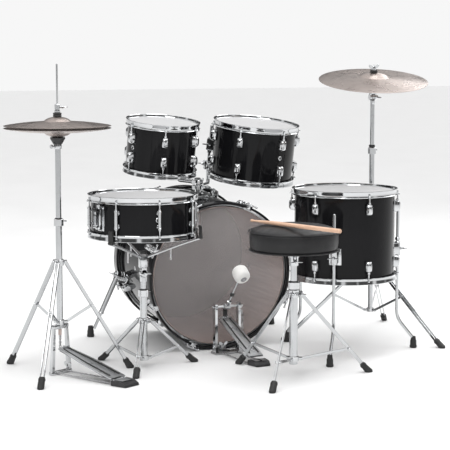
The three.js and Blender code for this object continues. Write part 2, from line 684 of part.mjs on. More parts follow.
// ---- Hi-hat -----------------------------------------------------------------------
function hihat() {
  const stand = HIHAT;
  const pedal = HIHAT_PEDAL;
  const [x, y] = stand.at;
  const base = placed(kit, x, y, 0);
  const low = stand.lowZ - 12;
  const bore = stand.upper + 0.6;

  // The frame below the low collar, laid out along +X towards the heel
  const frame = [block([14, 2 * pedal.post + 14, 14], [0, 0, low - 3])];
  for (const side of [-1, 1]) {
    const upright = strip([pedal.post, low], [pedal.foot, 4], 9, 14);
    frame.push(upright.rotateZ(rad(side * 90)));
    frame.push(bar([0, side * 24, 6], [pedal.heel + 20, side * 24, 6], 2.6, 6));
  }
  frame.push(block([20, 2 * pedal.foot + 14, 10], [0, 0, 5]));
  frame.push(plate([[pedal.heel + 3, 0], [pedal.heel + 64, 0], [pedal.heel + 64, 8],
    [pedal.heel + 40, 18], [pedal.heel + 3, 20]], pedal.heelWidth + 4));
  const spread = join(...standBase(stand, low, 60, true),
    ...frame.map((part) => spun(part, pedal.turn)));
  piece(base, 'hihat_base', cut(spread, post(bore, low - 20, stand.clampZ + 20)), CHROME());

  const lowEdge = stand.cymbalZ - stand.open / 2;
  const seatTop = lowEdge - bellTop(stand.cymbal) - GAP;
  const rodBore = stand.rod + 0.8;
  const tube = join(
    post(stand.upper, stand.clampZ - 110, stand.seatLow),
    post(stand.upper + 4, stand.seatLow - 17, stand.seatLow + 1),
    post(15, stand.seatLow, seatTop, 25, 12),
    post(5.5, seatTop - 1, seatTop + 12),
  );
  piece(base, 'hihat_upper_tube', cut(tube, post(rodBore, stand.clampZ - 120, seatTop + 20)),
    CHROME());

  const linkLow = pedal.toeZ + pedal.thick;       // the chain's link stands in a plain bar
  const linkTop = low - 24;
  piece(base, 'hihat_pull_rod', join(
    post(stand.rod, low - 16, stand.top),
    post(6, low - 30, low - 14, 6, 8),
    block([9, 5, linkTop - linkLow], [0, 0, (linkTop + linkLow) / 2 + 2]),
  ), STEEL());

  const edge = stand.cymbalZ + stand.open / 2;
  const bell = edge + bellTop(stand.cymbal);
  const felt = bell + GAP;
  const clutch = join(
    post(5.6, bell - 16, felt + 40),
    post(14, felt, felt + 13, 14, 14),
    post(9, felt + 12, felt + 40),
    post(10, bell - 20, bell - CYMBAL.thick - CYMBAL.thick - GAP, 10, 10),
    bar([0, 0, felt + 30], [22, 0, felt + 30], 3.5, 6),
    block([4, 9, 22], [21, 0, felt + 30]),
  );
  piece(base, 'hihat_clutch', cut(clutch, post(stand.rod + 0.5, bell - 30, felt + 60)), CHROME());
  const cymbal = cymbalGeometry(stand.cymbal);
  piece(base, 'hihat_top_cymbal', cymbal.clone().translate(0, 0, edge), BRONZE());
  piece(base, 'hihat_bottom_cymbal',
    flipped(cymbal, 0).translate(0, 0, lowEdge), BRONZE());

  const turn = placed(base, 0, 0, 0);
  turn.rotation.z = rad(pedal.turn);
  const hinge = placed(turn, pedal.heel, 0, pedal.heelZ);
  hinge.name = 'joint hihat_footboard';
  piece(hinge, 'hihat_footboard', footboard(pedal.heel - pedal.toe,
    pedal.toeZ - pedal.heelZ, pedal), STEEL());
}

// A tapered board from its hinge at the origin up to the toe in -X
function footboard(run, rise, { toeWidth, heelWidth, thick }) {
  const length = Math.hypot(run, rise);
  const shape = new THREE.Shape();
  shape.moveTo(0, -heelWidth / 2);
  shape.lineTo(0, heelWidth / 2);
  shape.lineTo(-length * 0.55, heelWidth / 2 - 2);
  shape.lineTo(-length, toeWidth / 2);
  shape.lineTo(-length, -toeWidth / 2);
  shape.lineTo(-length * 0.55, -heelWidth / 2 + 2);
  const board = new THREE.ExtrudeGeometry(shape, { depth: thick, bevelEnabled: false });
  return board.rotateY(Math.atan2(rise, run));
}
hihat();

// ---- Crash cymbal stand -------------------------------------------------------------
function crashStand() {
  const stand = CRASH;
  const base = placed(kit, stand.at[0], stand.at[1], 0);
  piece(base, 'cymbal_stand_base', join(...standBase(stand, stand.lowZ - 6, 60, false)),
    CHROME());
  piece(base, 'cymbal_stand_collar', topCollar(stand), CHROME());
  const { top, low } = tripodShape(stand);
  stand.legAngles.forEach((angle, i) => {
    const turn = placed(base, 0, 0, 0);
    turn.rotation.z = rad(angle);
    const hip = placed(turn, top[0], 0, top[1]);
    hip.name = `joint cymbal_stand_leg_${i + 1}`;
    piece(hip, `cymbal_stand_leg_${i + 1}`,
      legGeometry(stand).translate(-top[0], 0, -top[1]), CHROME());
    const heel = placed(turn, low[0], 0, low[1]);
    heel.name = `joint cymbal_stand_brace_${i + 1}`;
    piece(heel, `cymbal_stand_brace_${i + 1}`,
      braceGeometry(stand).translate(-low[0], 0, -low[1]), CHROME());
  });

  piece(base, 'cymbal_stand_upper_tube', join(
    post(stand.upper, stand.clampZ - 130, stand.tilterZ - 12),
    block([10, 20, 24], [0, 0, stand.tilterZ - 14]),
    bar([-5, 0, stand.tilterZ], [5, 0, stand.tilterZ], 11, 12),
  ), CHROME());

  const tilt = placed(base, 0, 0, stand.tilterZ);
  tilt.name = 'joint cymbal_tilt';
  tilt.rotation.set(rad(stand.lean), rad(stand.side), 0);
  const bell = stand.bowZ + bellTop(stand.cymbal);
  const felt = bell + GAP;
  const under = bell - 2 * CYMBAL.thick - GAP;
  piece(tilt, 'cymbal_stand_tilter', join(
    bar([6.2, 0, 0], [13, 0, 0], 11, 12), bar([-13, 0, 0], [-6.2, 0, 0], 11, 12),
    block([26, 12, 10], [0, 0, 18]), block([6, 12, 20], [9.5, 0, 8]),
    block([6, 12, 20], [-9.5, 0, 8]),
    post(4, 20, felt + 30), post(13, under - 14, under, 13, 12),
    post(5.8, under - 10, felt + 4), post(13, felt, felt + 10, 13, 12),
    post(6, felt + 9, felt + 22), block([26, 4, 9], [0, 0, felt + 20]),
  ), CHROME());
  piece(tilt, 'crash_cymbal', cymbalGeometry(stand.cymbal).translate(0, 0, stand.bowZ), BRONZE());
}
crashStand();

// ---- Kick pedal ---------------------------------------------------------------------
// Laid out from the point on the floor below its axle; the heel is towards -Y
function kickPedal() {
  const pedal = KICK;
  const { axleZ, post: side, heelZ } = pedal;
  const home = placed(kit, 0, pedal.axleY, 0);
  home.rotation.z = rad(pedal.yaw);
  const heelY = -pedal.heel;
  const jawY = -BASS.hoopRear - pedal.axleY;
  const frameParts = [
    block([2 * side + 18, 40, 8], [0, 0, 4]),
    block([36, jawY - 12, 8], [0, (jawY - 12) / 2, 4]),
    block([36, 8, 26], [0, jawY - 14, 17]),
    plate([[3, 0], [56, 0], [56, 6], [36, 16], [3, 20]], pedal.heelWidth + 12)
      .rotateZ(-Math.PI / 2).translate(0, heelY, 0),
  ];
  for (const x of [-side, side]) {
    frameParts.push(block([9, 15, axleZ - 4], [x, 0, axleZ / 2]));
    frameParts.push(bar([x - 5, 0, axleZ], [x + 5, 0, axleZ], 12, 12));
    frameParts.push(bar([x * 0.6, 0, 5], [x * 0.6, heelY - 10, 5], 2.6, 6));
  }
  const bore = bar([-80, 0, axleZ], [80, 0, axleZ], 5.2, 10);
  piece(home, 'kick_pedal_frame', cut(join(...frameParts), bore), CHROME());

  const hinge = placed(home, 0, heelY, heelZ);
  hinge.name = 'joint kick_footboard';
  const run = pedal.heel + pedal.toe;
  const rise = pedal.toeZ - heelZ;
  const board = footboard(run, rise, pedal).rotateZ(-Math.PI / 2);
  const strapTall = axleZ - pedal.toeZ - 14;
  const strap = block([16, 3, strapTall], [0, run - 6, rise + strapTall / 2]);
  piece(hinge, 'kick_footboard', join(board, strap), STEEL());

  const axle = placed(home, 0, 0, axleZ);
  axle.name = 'joint kick_beater';
  axle.rotation.x = rad(pedal.beaterLean);
  piece(axle, 'kick_beater', join(
    bar([-side - 12, 0, 0], [side + 16, 0, 0], 4.4, 10),
    bar([-11, 0, 0], [11, 0, 0], 10, 12),
    block([16, 14, 26], [0, 0, 14]),
    bar([0, 0, 10], [0, 0, pedal.shaft + 10], 3.2, 8),
    bar([0, -26, pedal.shaft], [0, 26, pedal.shaft], pedal.beater, 16),
  ), COATED());
}
kickPedal();

// ---- Throne and stick -----------------------------------------------------------------
function throne() {
  const stand = THRONE;
  const base = placed(kit, stand.at[0], stand.at[1], 0);
  piece(base, 'throne_base', join(...standBase(stand, 40, 60, true)), CHROME());
  const seatZ = stand.seatLow;
  piece(base, 'throne_post', join(
    post(stand.upper, stand.clampZ - 150, seatZ - 22),
    post(stand.upper + 5, seatZ - 48, seatZ - 20, stand.upper + 5, 12),
    post(stand.upper + 5, seatZ - 21, seatZ - 6, 26, 12),
    block([110, 110, 6], [0, 0, seatZ - 3 - GAP]),
  ), CHROME());
  const r = stand.seatRadius;
  const band = seatZ + stand.seatBand;
  piece(base, 'throne_seat', turned([
    [0, seatZ], [r - 7, seatZ], [r, seatZ + 7], [r, band - 8], [r - 7, band],
    [r * 0.6, band + stand.crown * 0.75], [0, band + stand.crown],
  ], 28), VINYL());
}
throne();

const stickZ = THRONE.seatLow + THRONE.seatBand + THRONE.crown + STICK.radius + 1;
const [tip, butt] = [STICK.tip, STICK.butt];
function along(share) {
  return [tip[0] + (butt[0] - tip[0]) * share, tip[1] + (butt[1] - tip[1]) * share, stickZ];
}
function tapered(from, to, radius, endRadius) {
  const start = new THREE.Vector3(...along(from));
  const run = new THREE.Vector3(...along(to)).sub(start);
  const turn = new THREE.Quaternion();
  turn.setFromUnitVectors(new THREE.Vector3(0, 0, 1), run.clone().normalize());
  return post(radius, 0, run.length(), endRadius, 10).applyQuaternion(turn)
    .translate(...along(from));
}
piece(kit, 'drum_stick', join(
  tapered(0, 0.03, 4.6, 4.6), tapered(0.02, 0.24, 3, STICK.radius),
  tapered(0.24, 1, STICK.radius, STICK.radius),
), HICKORY());

// ---- The origin: middle of the footprint, on the floor ----------------------------------
kit.updateMatrixWorld(true);
const box = new THREE.Box3();
kit.traverse((node) => {
  if (node.isMesh) box.expandByObject(node, true);
});
const middle = box.getCenter(new THREE.Vector3());
kit.position.set(-middle.x, -middle.y, -box.min.z);

export default kit;
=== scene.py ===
"""An acoustic drum kit, finished piece by piece round its packed frame.

Every shape is drawn in the kit's own millimetres, measured from the middle of the bass
drum's batter head on the floor, and carried into the frame by HOME.
"""
import json
import math

import bmesh
import bpy
from mathutils import Matrix, Vector


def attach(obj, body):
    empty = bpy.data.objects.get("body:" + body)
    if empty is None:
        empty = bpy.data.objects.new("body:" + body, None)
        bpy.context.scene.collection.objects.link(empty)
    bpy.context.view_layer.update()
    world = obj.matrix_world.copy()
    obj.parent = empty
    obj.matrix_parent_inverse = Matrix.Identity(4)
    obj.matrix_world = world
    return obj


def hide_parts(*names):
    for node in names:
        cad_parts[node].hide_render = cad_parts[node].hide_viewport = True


bl_info = {
    "name": "Drum Kit Maker",
    "version": (1, 0, 0),
    "blender": (4, 5, 0),
    "location": "View3D > Sidebar > Drum Kit",
    "description": "Builds the finished pieces of an acoustic drum kit round its frame",
    "category": "Add Mesh",
}

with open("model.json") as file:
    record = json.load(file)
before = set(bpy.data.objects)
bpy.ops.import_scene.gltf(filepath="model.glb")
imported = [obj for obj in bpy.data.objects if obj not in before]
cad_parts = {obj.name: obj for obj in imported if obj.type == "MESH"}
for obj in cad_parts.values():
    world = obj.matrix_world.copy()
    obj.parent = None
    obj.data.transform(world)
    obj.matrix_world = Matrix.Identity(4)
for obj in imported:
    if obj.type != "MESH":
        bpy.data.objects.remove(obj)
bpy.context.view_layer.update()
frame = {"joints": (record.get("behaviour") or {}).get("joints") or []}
MM = 0.001

# ---- Driving sizes, in millimetres -------------------------------------------------
BASS = dict(radius=254, depth=406, lift=3.4, lugs=8, lug_from_edge=70, rod=277,
            hoop=270, rear=16, front=22)
SMALL_TOM = dict(name="small_tom", radius=127, depth=178, lugs=6, lug_angle=16,
                 at=(-136, 222), rim=824, lean=7, side=2.3, hang=46)
LARGE_TOM = dict(name="large_tom", radius=152, depth=203, lugs=6, lug_angle=-12,
                 at=(235, 225), rim=811, lean=7, side=3.3, hang=138)
FLOOR_TOM = dict(name="floor_tom", radius=178, depth=305, lugs=6, lug_angle=-28,
                 at=(401, -200), rim=594, lean=0, side=0)
SNARE = dict(name="snare", radius=178, depth=127, lugs=8, lug_angle=-1,
             at=(-350, -190), rim=599, lean=0, side=0, strainer=201.5)
HOOP_HEIGHT = 10
SNARE_TILT, BASKET_HUB = 325, 378
LUG_FROM_EDGE = 53
HANG_OUT, HANG_JOINT, HOLDER_Y = 26, 26, 230
HIHAT = dict(at=(-646, -193), base=10.5, upper=9.2, collar=377, low=175, clamp=512,
             feet=247, legs=(120, 240, 360), pivot=0.4, tall=22, screw=-60)
CRASH = dict(at=(627, 41), base=9.5, upper=8, collar=285, low=100, clamp=704,
             feet=341, legs=(-66, 54, 174), pivot=0.41, tall=24, screw=60)
SNARE_STAND = dict(at=(-350, -190), base=12.5, upper=9.5, collar=160, low=31, clamp=256,
                   feet=191, legs=(-116, 4, 124), pivot=0.62, tall=20, screw=60)
THRONE = dict(at=(70, -510), base=14, upper=11, collar=278, low=58, clamp=306,
              feet=266, legs=(-128, -8, 112), pivot=0.7, tall=26, screw=60)


def joint_place(name):
    joint = next(j for j in frame["joints"] if j["name"] == name)
    return Vector(joint["pos_m"]) / MM


HOME_SHIFT = joint_place("snare_tilt") - Vector((*SNARE["at"], SNARE_TILT))


def shift(x=0.0, y=0.0, z=0.0):
    return Matrix.Translation((x, y, z))


def turn(degrees, axis="Z"):
    return Matrix.Rotation(math.radians(degrees), 4, axis)


HOME = Matrix.Scale(MM, 4) @ Matrix.Translation(HOME_SHIFT)


def facing(point, axis):
    """A place at point whose Z runs along axis."""
    return Matrix.Translation(point) @ Vector(axis).to_track_quat("Z", "Y").to_matrix().to_4x4()


# ---- Shader groups -------------------------------------------------------------------
def shader_group(name, inputs, outputs):
    tree = bpy.data.node_groups.new(name, "ShaderNodeTree")
    for label, kind, value in inputs:
        socket = tree.interface.new_socket(label, in_out="INPUT", socket_type=kind)
        socket.default_value = value
    for label, kind in outputs:
        tree.interface.new_socket(label, in_out="OUTPUT", socket_type=kind)
    return tree, tree.nodes.new("NodeGroupInput"), tree.nodes.new("NodeGroupOutput")


def placed_noise(tree, source, scale, detail, stretch=None):
    coordinates = tree.nodes.new("ShaderNodeTexCoord")
    noise = tree.nodes.new("ShaderNodeTexNoise")
    noise.inputs["Detail"].default_value = detail
    start = coordinates.outputs["Object"]
    if stretch:
        mapping = tree.nodes.new("ShaderNodeMapping")
        mapping.inputs["Scale"].default_value = stretch
        tree.links.new(start, mapping.inputs["Vector"])
        start = mapping.outputs["Vector"]
    tree.links.new(start, noise.inputs["Vector"])
    if isinstance(scale, str):
        tree.links.new(source.outputs[scale], noise.inputs["Scale"])
    else:
        noise.inputs["Scale"].default_value = scale
    return noise


def handling_marks():
    """Smears and dust: a value between Low and High that drifts over the surface."""
    tree, source, result = shader_group("Handling marks", [
        ("Scale", "NodeSocketFloat", 30.0), ("Low", "NodeSocketFloat", 0.1),
        ("High", "NodeSocketFloat", 0.2)], [("Value", "NodeSocketFloat")])
    noise = placed_noise(tree, source, "Scale", 6.0)
    spread = tree.nodes.new("ShaderNodeMapRange")
    spread.inputs["From Min"].default_value = 0.32
    spread.inputs["From Max"].default_value = 0.68
    tree.links.new(noise.outputs["Fac"], spread.inputs["Value"])
    tree.links.new(source.outputs["Low"], spread.inputs["To Min"])
    tree.links.new(source.outputs["High"], spread.inputs["To Max"])
    tree.links.new(spread.outputs["Result"], result.inputs["Value"])
    return tree


def colour_drift():
    """Two close colours drifting into each other."""
    tree, source, result = shader_group("Colour drift", [
        ("Scale", "NodeSocketFloat", 12.0), ("Colour", "NodeSocketColor", (0.5, 0.5, 0.5, 1)),
        ("Other", "NodeSocketColor", (0.4, 0.4, 0.4, 1))], [("Colour", "NodeSocketColor")])
    noise = placed_noise(tree, source, "Scale", 4.0)
    mix = tree.nodes.new("ShaderNodeMix")
    mix.data_type = "RGBA"
    tree.links.new(noise.outputs["Fac"], mix.inputs["Factor"])
    tree.links.new(source.outputs["Colour"], mix.inputs["A"])
    tree.links.new(source.outputs["Other"], mix.inputs["B"])
    tree.links.new(mix.outputs["Result"], result.inputs["Colour"])
    return tree


def fine_relief():
    """A fine grain of bumps, such as coating, moulding texture or orange peel."""
    tree, source, result = shader_group("Fine relief", [
        ("Scale", "NodeSocketFloat", 400.0), ("Strength", "NodeSocketFloat", 0.2),
        ("Depth", "NodeSocketFloat", 0.0003)], [("Normal", "NodeSocketVector")])
    noise = placed_noise(tree, source, "Scale", 3.0)
    bump = tree.nodes.new("ShaderNodeBump")
    tree.links.new(noise.outputs["Fac"], bump.inputs["Height"])
    tree.links.new(source.outputs["Strength"], bump.inputs["Strength"])
    tree.links.new(source.outputs["Depth"], bump.inputs["Distance"])
    tree.links.new(bump.outputs["Normal"], result.inputs["Normal"])
    return tree


def turned_grooves():
    """Fine rings cut round an axis: reads the distance from it, in metres, off the mesh."""
    tree, source, result = shader_group("Turned grooves", [
        ("Spacing", "NodeSocketFloat", 0.0022), ("Strength", "NodeSocketFloat", 0.5)],
        [("Normal", "NodeSocketVector")])
    radius = tree.nodes.new("ShaderNodeAttribute")
    radius.attribute_name = "turned"
    noise = placed_noise(tree, source, 30.0, 2.0)
    ratio = tree.nodes.new("ShaderNodeMath")
    ratio.operation = "DIVIDE"
    tree.links.new(radius.outputs["Fac"], ratio.inputs[0])
    tree.links.new(source.outputs["Spacing"], ratio.inputs[1])
    drift = tree.nodes.new("ShaderNodeMath")
    drift.operation = "MULTIPLY_ADD"
    drift.inputs[1].default_value = 0.8
    tree.links.new(noise.outputs["Fac"], drift.inputs[0])
    tree.links.new(ratio.outputs["Value"], drift.inputs[2])
    angle = tree.nodes.new("ShaderNodeMath")
    angle.operation = "MULTIPLY"
    angle.inputs[1].default_value = 2 * math.pi
    tree.links.new(drift.outputs["Value"], angle.inputs[0])
    wave = tree.nodes.new("ShaderNodeMath")
    wave.operation = "SINE"
    tree.links.new(angle.outputs["Value"], wave.inputs[0])
    bump = tree.nodes.new("ShaderNodeBump")
    bump.inputs["Distance"].default_value = 0.0004
    tree.links.new(wave.outputs["Value"], bump.inputs["Height"])
    tree.links.new(source.outputs["Strength"], bump.inputs["Strength"])
    tree.links.new(bump.outputs["Normal"], result.inputs["Normal"])
    return tree


def pebble_grain():
    """Pressed leather-like grain."""
    tree, source, result = shader_group("Pebble grain", [
        ("Scale", "NodeSocketFloat", 420.0), ("Strength", "NodeSocketFloat", 0.4)],
        [("Normal", "NodeSocketVector")])
    coordinates = tree.nodes.new("ShaderNodeTexCoord")
    cells = tree.nodes.new("ShaderNodeTexVoronoi")
    cells.feature = "SMOOTH_F1"
    bump = tree.nodes.new("ShaderNodeBump")
    bump.inputs["Distance"].default_value = 0.0006
    tree.links.new(coordinates.outputs["Object"], cells.inputs["Vector"])
    tree.links.new(source.outputs["Scale"], cells.inputs["Scale"])
    tree.links.new(cells.outputs["Distance"], bump.inputs["Height"])
    tree.links.new(source.outputs["Strength"], bump.inputs["Strength"])
    tree.links.new(bump.outputs["Normal"], result.inputs["Normal"])
    return tree


def wood_figure():
    """Long streaks of grain, drawn out along one axis by the stretch of its mapping."""
    tree, source, result = shader_group("Wood figure", [
        ("Scale", "NodeSocketFloat", 40.0), ("Colour", "NodeSocketColor", (0.5, 0.3, 0.2, 1)),
        ("Dark", "NodeSocketColor", (0.3, 0.18, 0.1, 1))],
        [("Colour", "NodeSocketColor")])
    noise = placed_noise(tree, source, "Scale", 8.0, stretch=(1.0, 0.12, 4.0))
    contrast = tree.nodes.new("ShaderNodeMapRange")
    contrast.inputs["From Min"].default_value = 0.35
    contrast.inputs["From Max"].default_value = 0.65
    mix = tree.nodes.new("ShaderNodeMix")
    mix.data_type = "RGBA"
    tree.links.new(noise.outputs["Fac"], contrast.inputs["Value"])
    tree.links.new(contrast.outputs["Result"], mix.inputs["Factor"])
    tree.links.new(source.outputs["Colour"], mix.inputs["A"])
    tree.links.new(source.outputs["Dark"], mix.inputs["B"])
    tree.links.new(mix.outputs["Result"], result.inputs["Colour"])
    return tree


GROUPS = {}
GROUP_MAKERS = dict(marks=handling_marks, drift=colour_drift, relief=fine_relief,
                    grooves=turned_grooves, pebble=pebble_grain, wood=wood_figure)


def use_group(material, key, **values):
    if key not in GROUPS:
        GROUPS[key] = GROUP_MAKERS[key]()
    node = material.node_tree.nodes.new("ShaderNodeGroup")
    node.node_tree = GROUPS[key]
    for label, value in values.items():
        node.inputs[label].default_value = value
    return node


# ---- Finishes ------------------------------------------------------------------------
# colour and its drift, roughness from low to high, and what else the finish has
FINISHES = dict(
    chrome=dict(colour=(0.62, 0.63, 0.64), other=(0.54, 0.55, 0.56), metal=1, rough=(0.05, 0.13),
                marks=28, relief=(260, 0.05)),
    tube=dict(colour=(0.56, 0.57, 0.58), other=(0.48, 0.49, 0.50), metal=1, rough=(0.09, 0.19),
              marks=45, relief=(500, 0.08)),
    steel=dict(colour=(0.58, 0.58, 0.59), other=(0.48, 0.48, 0.49), metal=1, rough=(0.22, 0.36),
               marks=60, relief=(700, 0.15)),
    spring=dict(colour=(0.45, 0.45, 0.46), other=(0.36, 0.36, 0.37), metal=1, rough=(0.2, 0.35),
                marks=80, relief=(600, 0.1)),
    aluminium=dict(colour=(0.54, 0.55, 0.56), other=(0.44, 0.45, 0.46), metal=1,
                   rough=(0.26, 0.42), marks=50, relief=(900, 0.25)),
    wrap=dict(colour=(0.006, 0.006, 0.007), other=(0.010, 0.010, 0.011), rough=(0.05, 0.12),
              marks=14, relief=(90, 0.05), shine=0.15),
    lacquer=dict(colour=(0.008, 0.008, 0.009), other=(0.014, 0.014, 0.015), rough=(0.07, 0.16),
                 marks=22, relief=(140, 0.06), shine=0.2),
    ply=dict(colour=(0.60, 0.42, 0.36), other=(0.46, 0.31, 0.26), rough=(0.5, 0.65), marks=30,
             wood=26, relief=(320, 0.2)),
    hickory=dict(colour=(0.72, 0.48, 0.34), other=(0.58, 0.36, 0.24), rough=(0.34, 0.5), marks=60,
                 wood=60, relief=(700, 0.15), coat=0.25),
    coated=dict(colour=(0.47, 0.47, 0.47), other=(0.41, 0.41, 0.42), rough=(0.5, 0.62), marks=20,
                relief=(1100, 0.35)),
    clear=dict(colour=(0.62, 0.57, 0.56), other=(0.52, 0.48, 0.48), rough=(0.12, 0.26), marks=9,
               relief=(60, 0.05), alpha=0.3),
    haze=dict(colour=(0.43, 0.41, 0.405), other=(0.37, 0.35, 0.345), rough=(0.2, 0.34), marks=10,
              relief=(300, 0.08)),
    film=dict(colour=(0.022, 0.022, 0.024), other=(0.034, 0.034, 0.036), rough=(0.24, 0.38),
              marks=10, relief=(240, 0.03)),
    rubber=dict(colour=(0.012, 0.012, 0.012), other=(0.028, 0.028, 0.028), rough=(0.55, 0.75),
                marks=60, relief=(800, 0.4)),
    plastic=dict(colour=(0.014, 0.014, 0.015), other=(0.022, 0.022, 0.023), rough=(0.28, 0.42),
                 marks=50, relief=(900, 0.25)),
    grey=dict(colour=(0.30, 0.30, 0.31), other=(0.24, 0.24, 0.25), rough=(0.35, 0.5), marks=50,
              relief=(900, 0.2)),
    felt=dict(colour=(0.84, 0.83, 0.81), other=(0.72, 0.71, 0.69), rough=(0.8, 0.95), marks=90,
              relief=(1500, 0.9), sheen=0.5),
    black_felt=dict(colour=(0.018, 0.018, 0.018), other=(0.04, 0.04, 0.04), rough=(0.85, 0.95),
                    marks=90, relief=(1500, 0.9), sheen=0.3),
    bronze=dict(colour=(0.40, 0.345, 0.32), other=(0.31, 0.265, 0.245), metal=1,
                rough=(0.24, 0.36), marks=26, grooves=(0.0021, 0.35)),
    vinyl=dict(colour=(0.012, 0.012, 0.013), other=(0.020, 0.020, 0.021), rough=(0.34, 0.5),
               marks=40, pebble=(430, 0.35), shine=0.3),
    thread=dict(colour=(0.020, 0.020, 0.021), other=(0.05, 0.05, 0.05), rough=(0.6, 0.8),
                marks=300, relief=(1500, 0.6)),
    nylon=dict(colour=(0.62, 0.50, 0.46), other=(0.52, 0.41, 0.37), rough=(0.3, 0.4), marks=60,
               relief=(500, 0.1)),
    floor=dict(colour=(0.9, 0.9, 0.9), other=(0.87, 0.87, 0.87), rough=(0.5, 0.62), marks=3,
               relief=(200, 0.03)),
)


def finish_material(key, tint=None):
    name = "finish_" + key
    if name in bpy.data.materials:
        return bpy.data.materials[name]
    look = FINISHES[key]
    material = bpy.data.materials.new(name)
    material.use_nodes = True
    links = material.node_tree.links
    shader = material.node_tree.nodes["Principled BSDF"]
    colour = (*(tint or look["colour"]), 1)
    other = (*look["other"], 1)
    if "wood" in look:
        painted = use_group(material, "wood", Scale=look["wood"], Colour=colour, Dark=other)
    else:
        painted = use_group(material, "drift", Scale=look["marks"] * 0.7, Colour=colour,
                            Other=other)
    links.new(painted.outputs["Colour"], shader.inputs["Base Color"])
    low, high = look["rough"]
    marks = use_group(material, "marks", Scale=look["marks"], Low=low, High=high)
    links.new(marks.outputs["Value"], shader.inputs["Roughness"])
    shader.inputs["Specular IOR Level"].default_value = look.get("shine", 0.5)
    if "grooves" in look:
        spacing, strength = look["grooves"]
        relief = use_group(material, "grooves", Spacing=spacing, Strength=strength)
    elif "pebble" in look:
        scale, strength = look["pebble"]
        relief = use_group(material, "pebble", Scale=scale, Strength=strength)
    else:
        scale, strength = look["relief"]
        relief = use_group(material, "relief", Scale=scale, Strength=strength)
    links.new(relief.outputs["Normal"], shader.inputs["Normal"])
    shader.inputs["Metallic"].default_value = look.get("metal", 0)
    shader.inputs["Coat Weight"].default_value = look.get("coat", 0)
    shader.inputs["Coat Roughness"].default_value = 0.04
    shader.inputs["Sheen Weight"].default_value = look.get("sheen", 0)
    shader.inputs["Alpha"].default_value = look.get("alpha", 1)
    return material


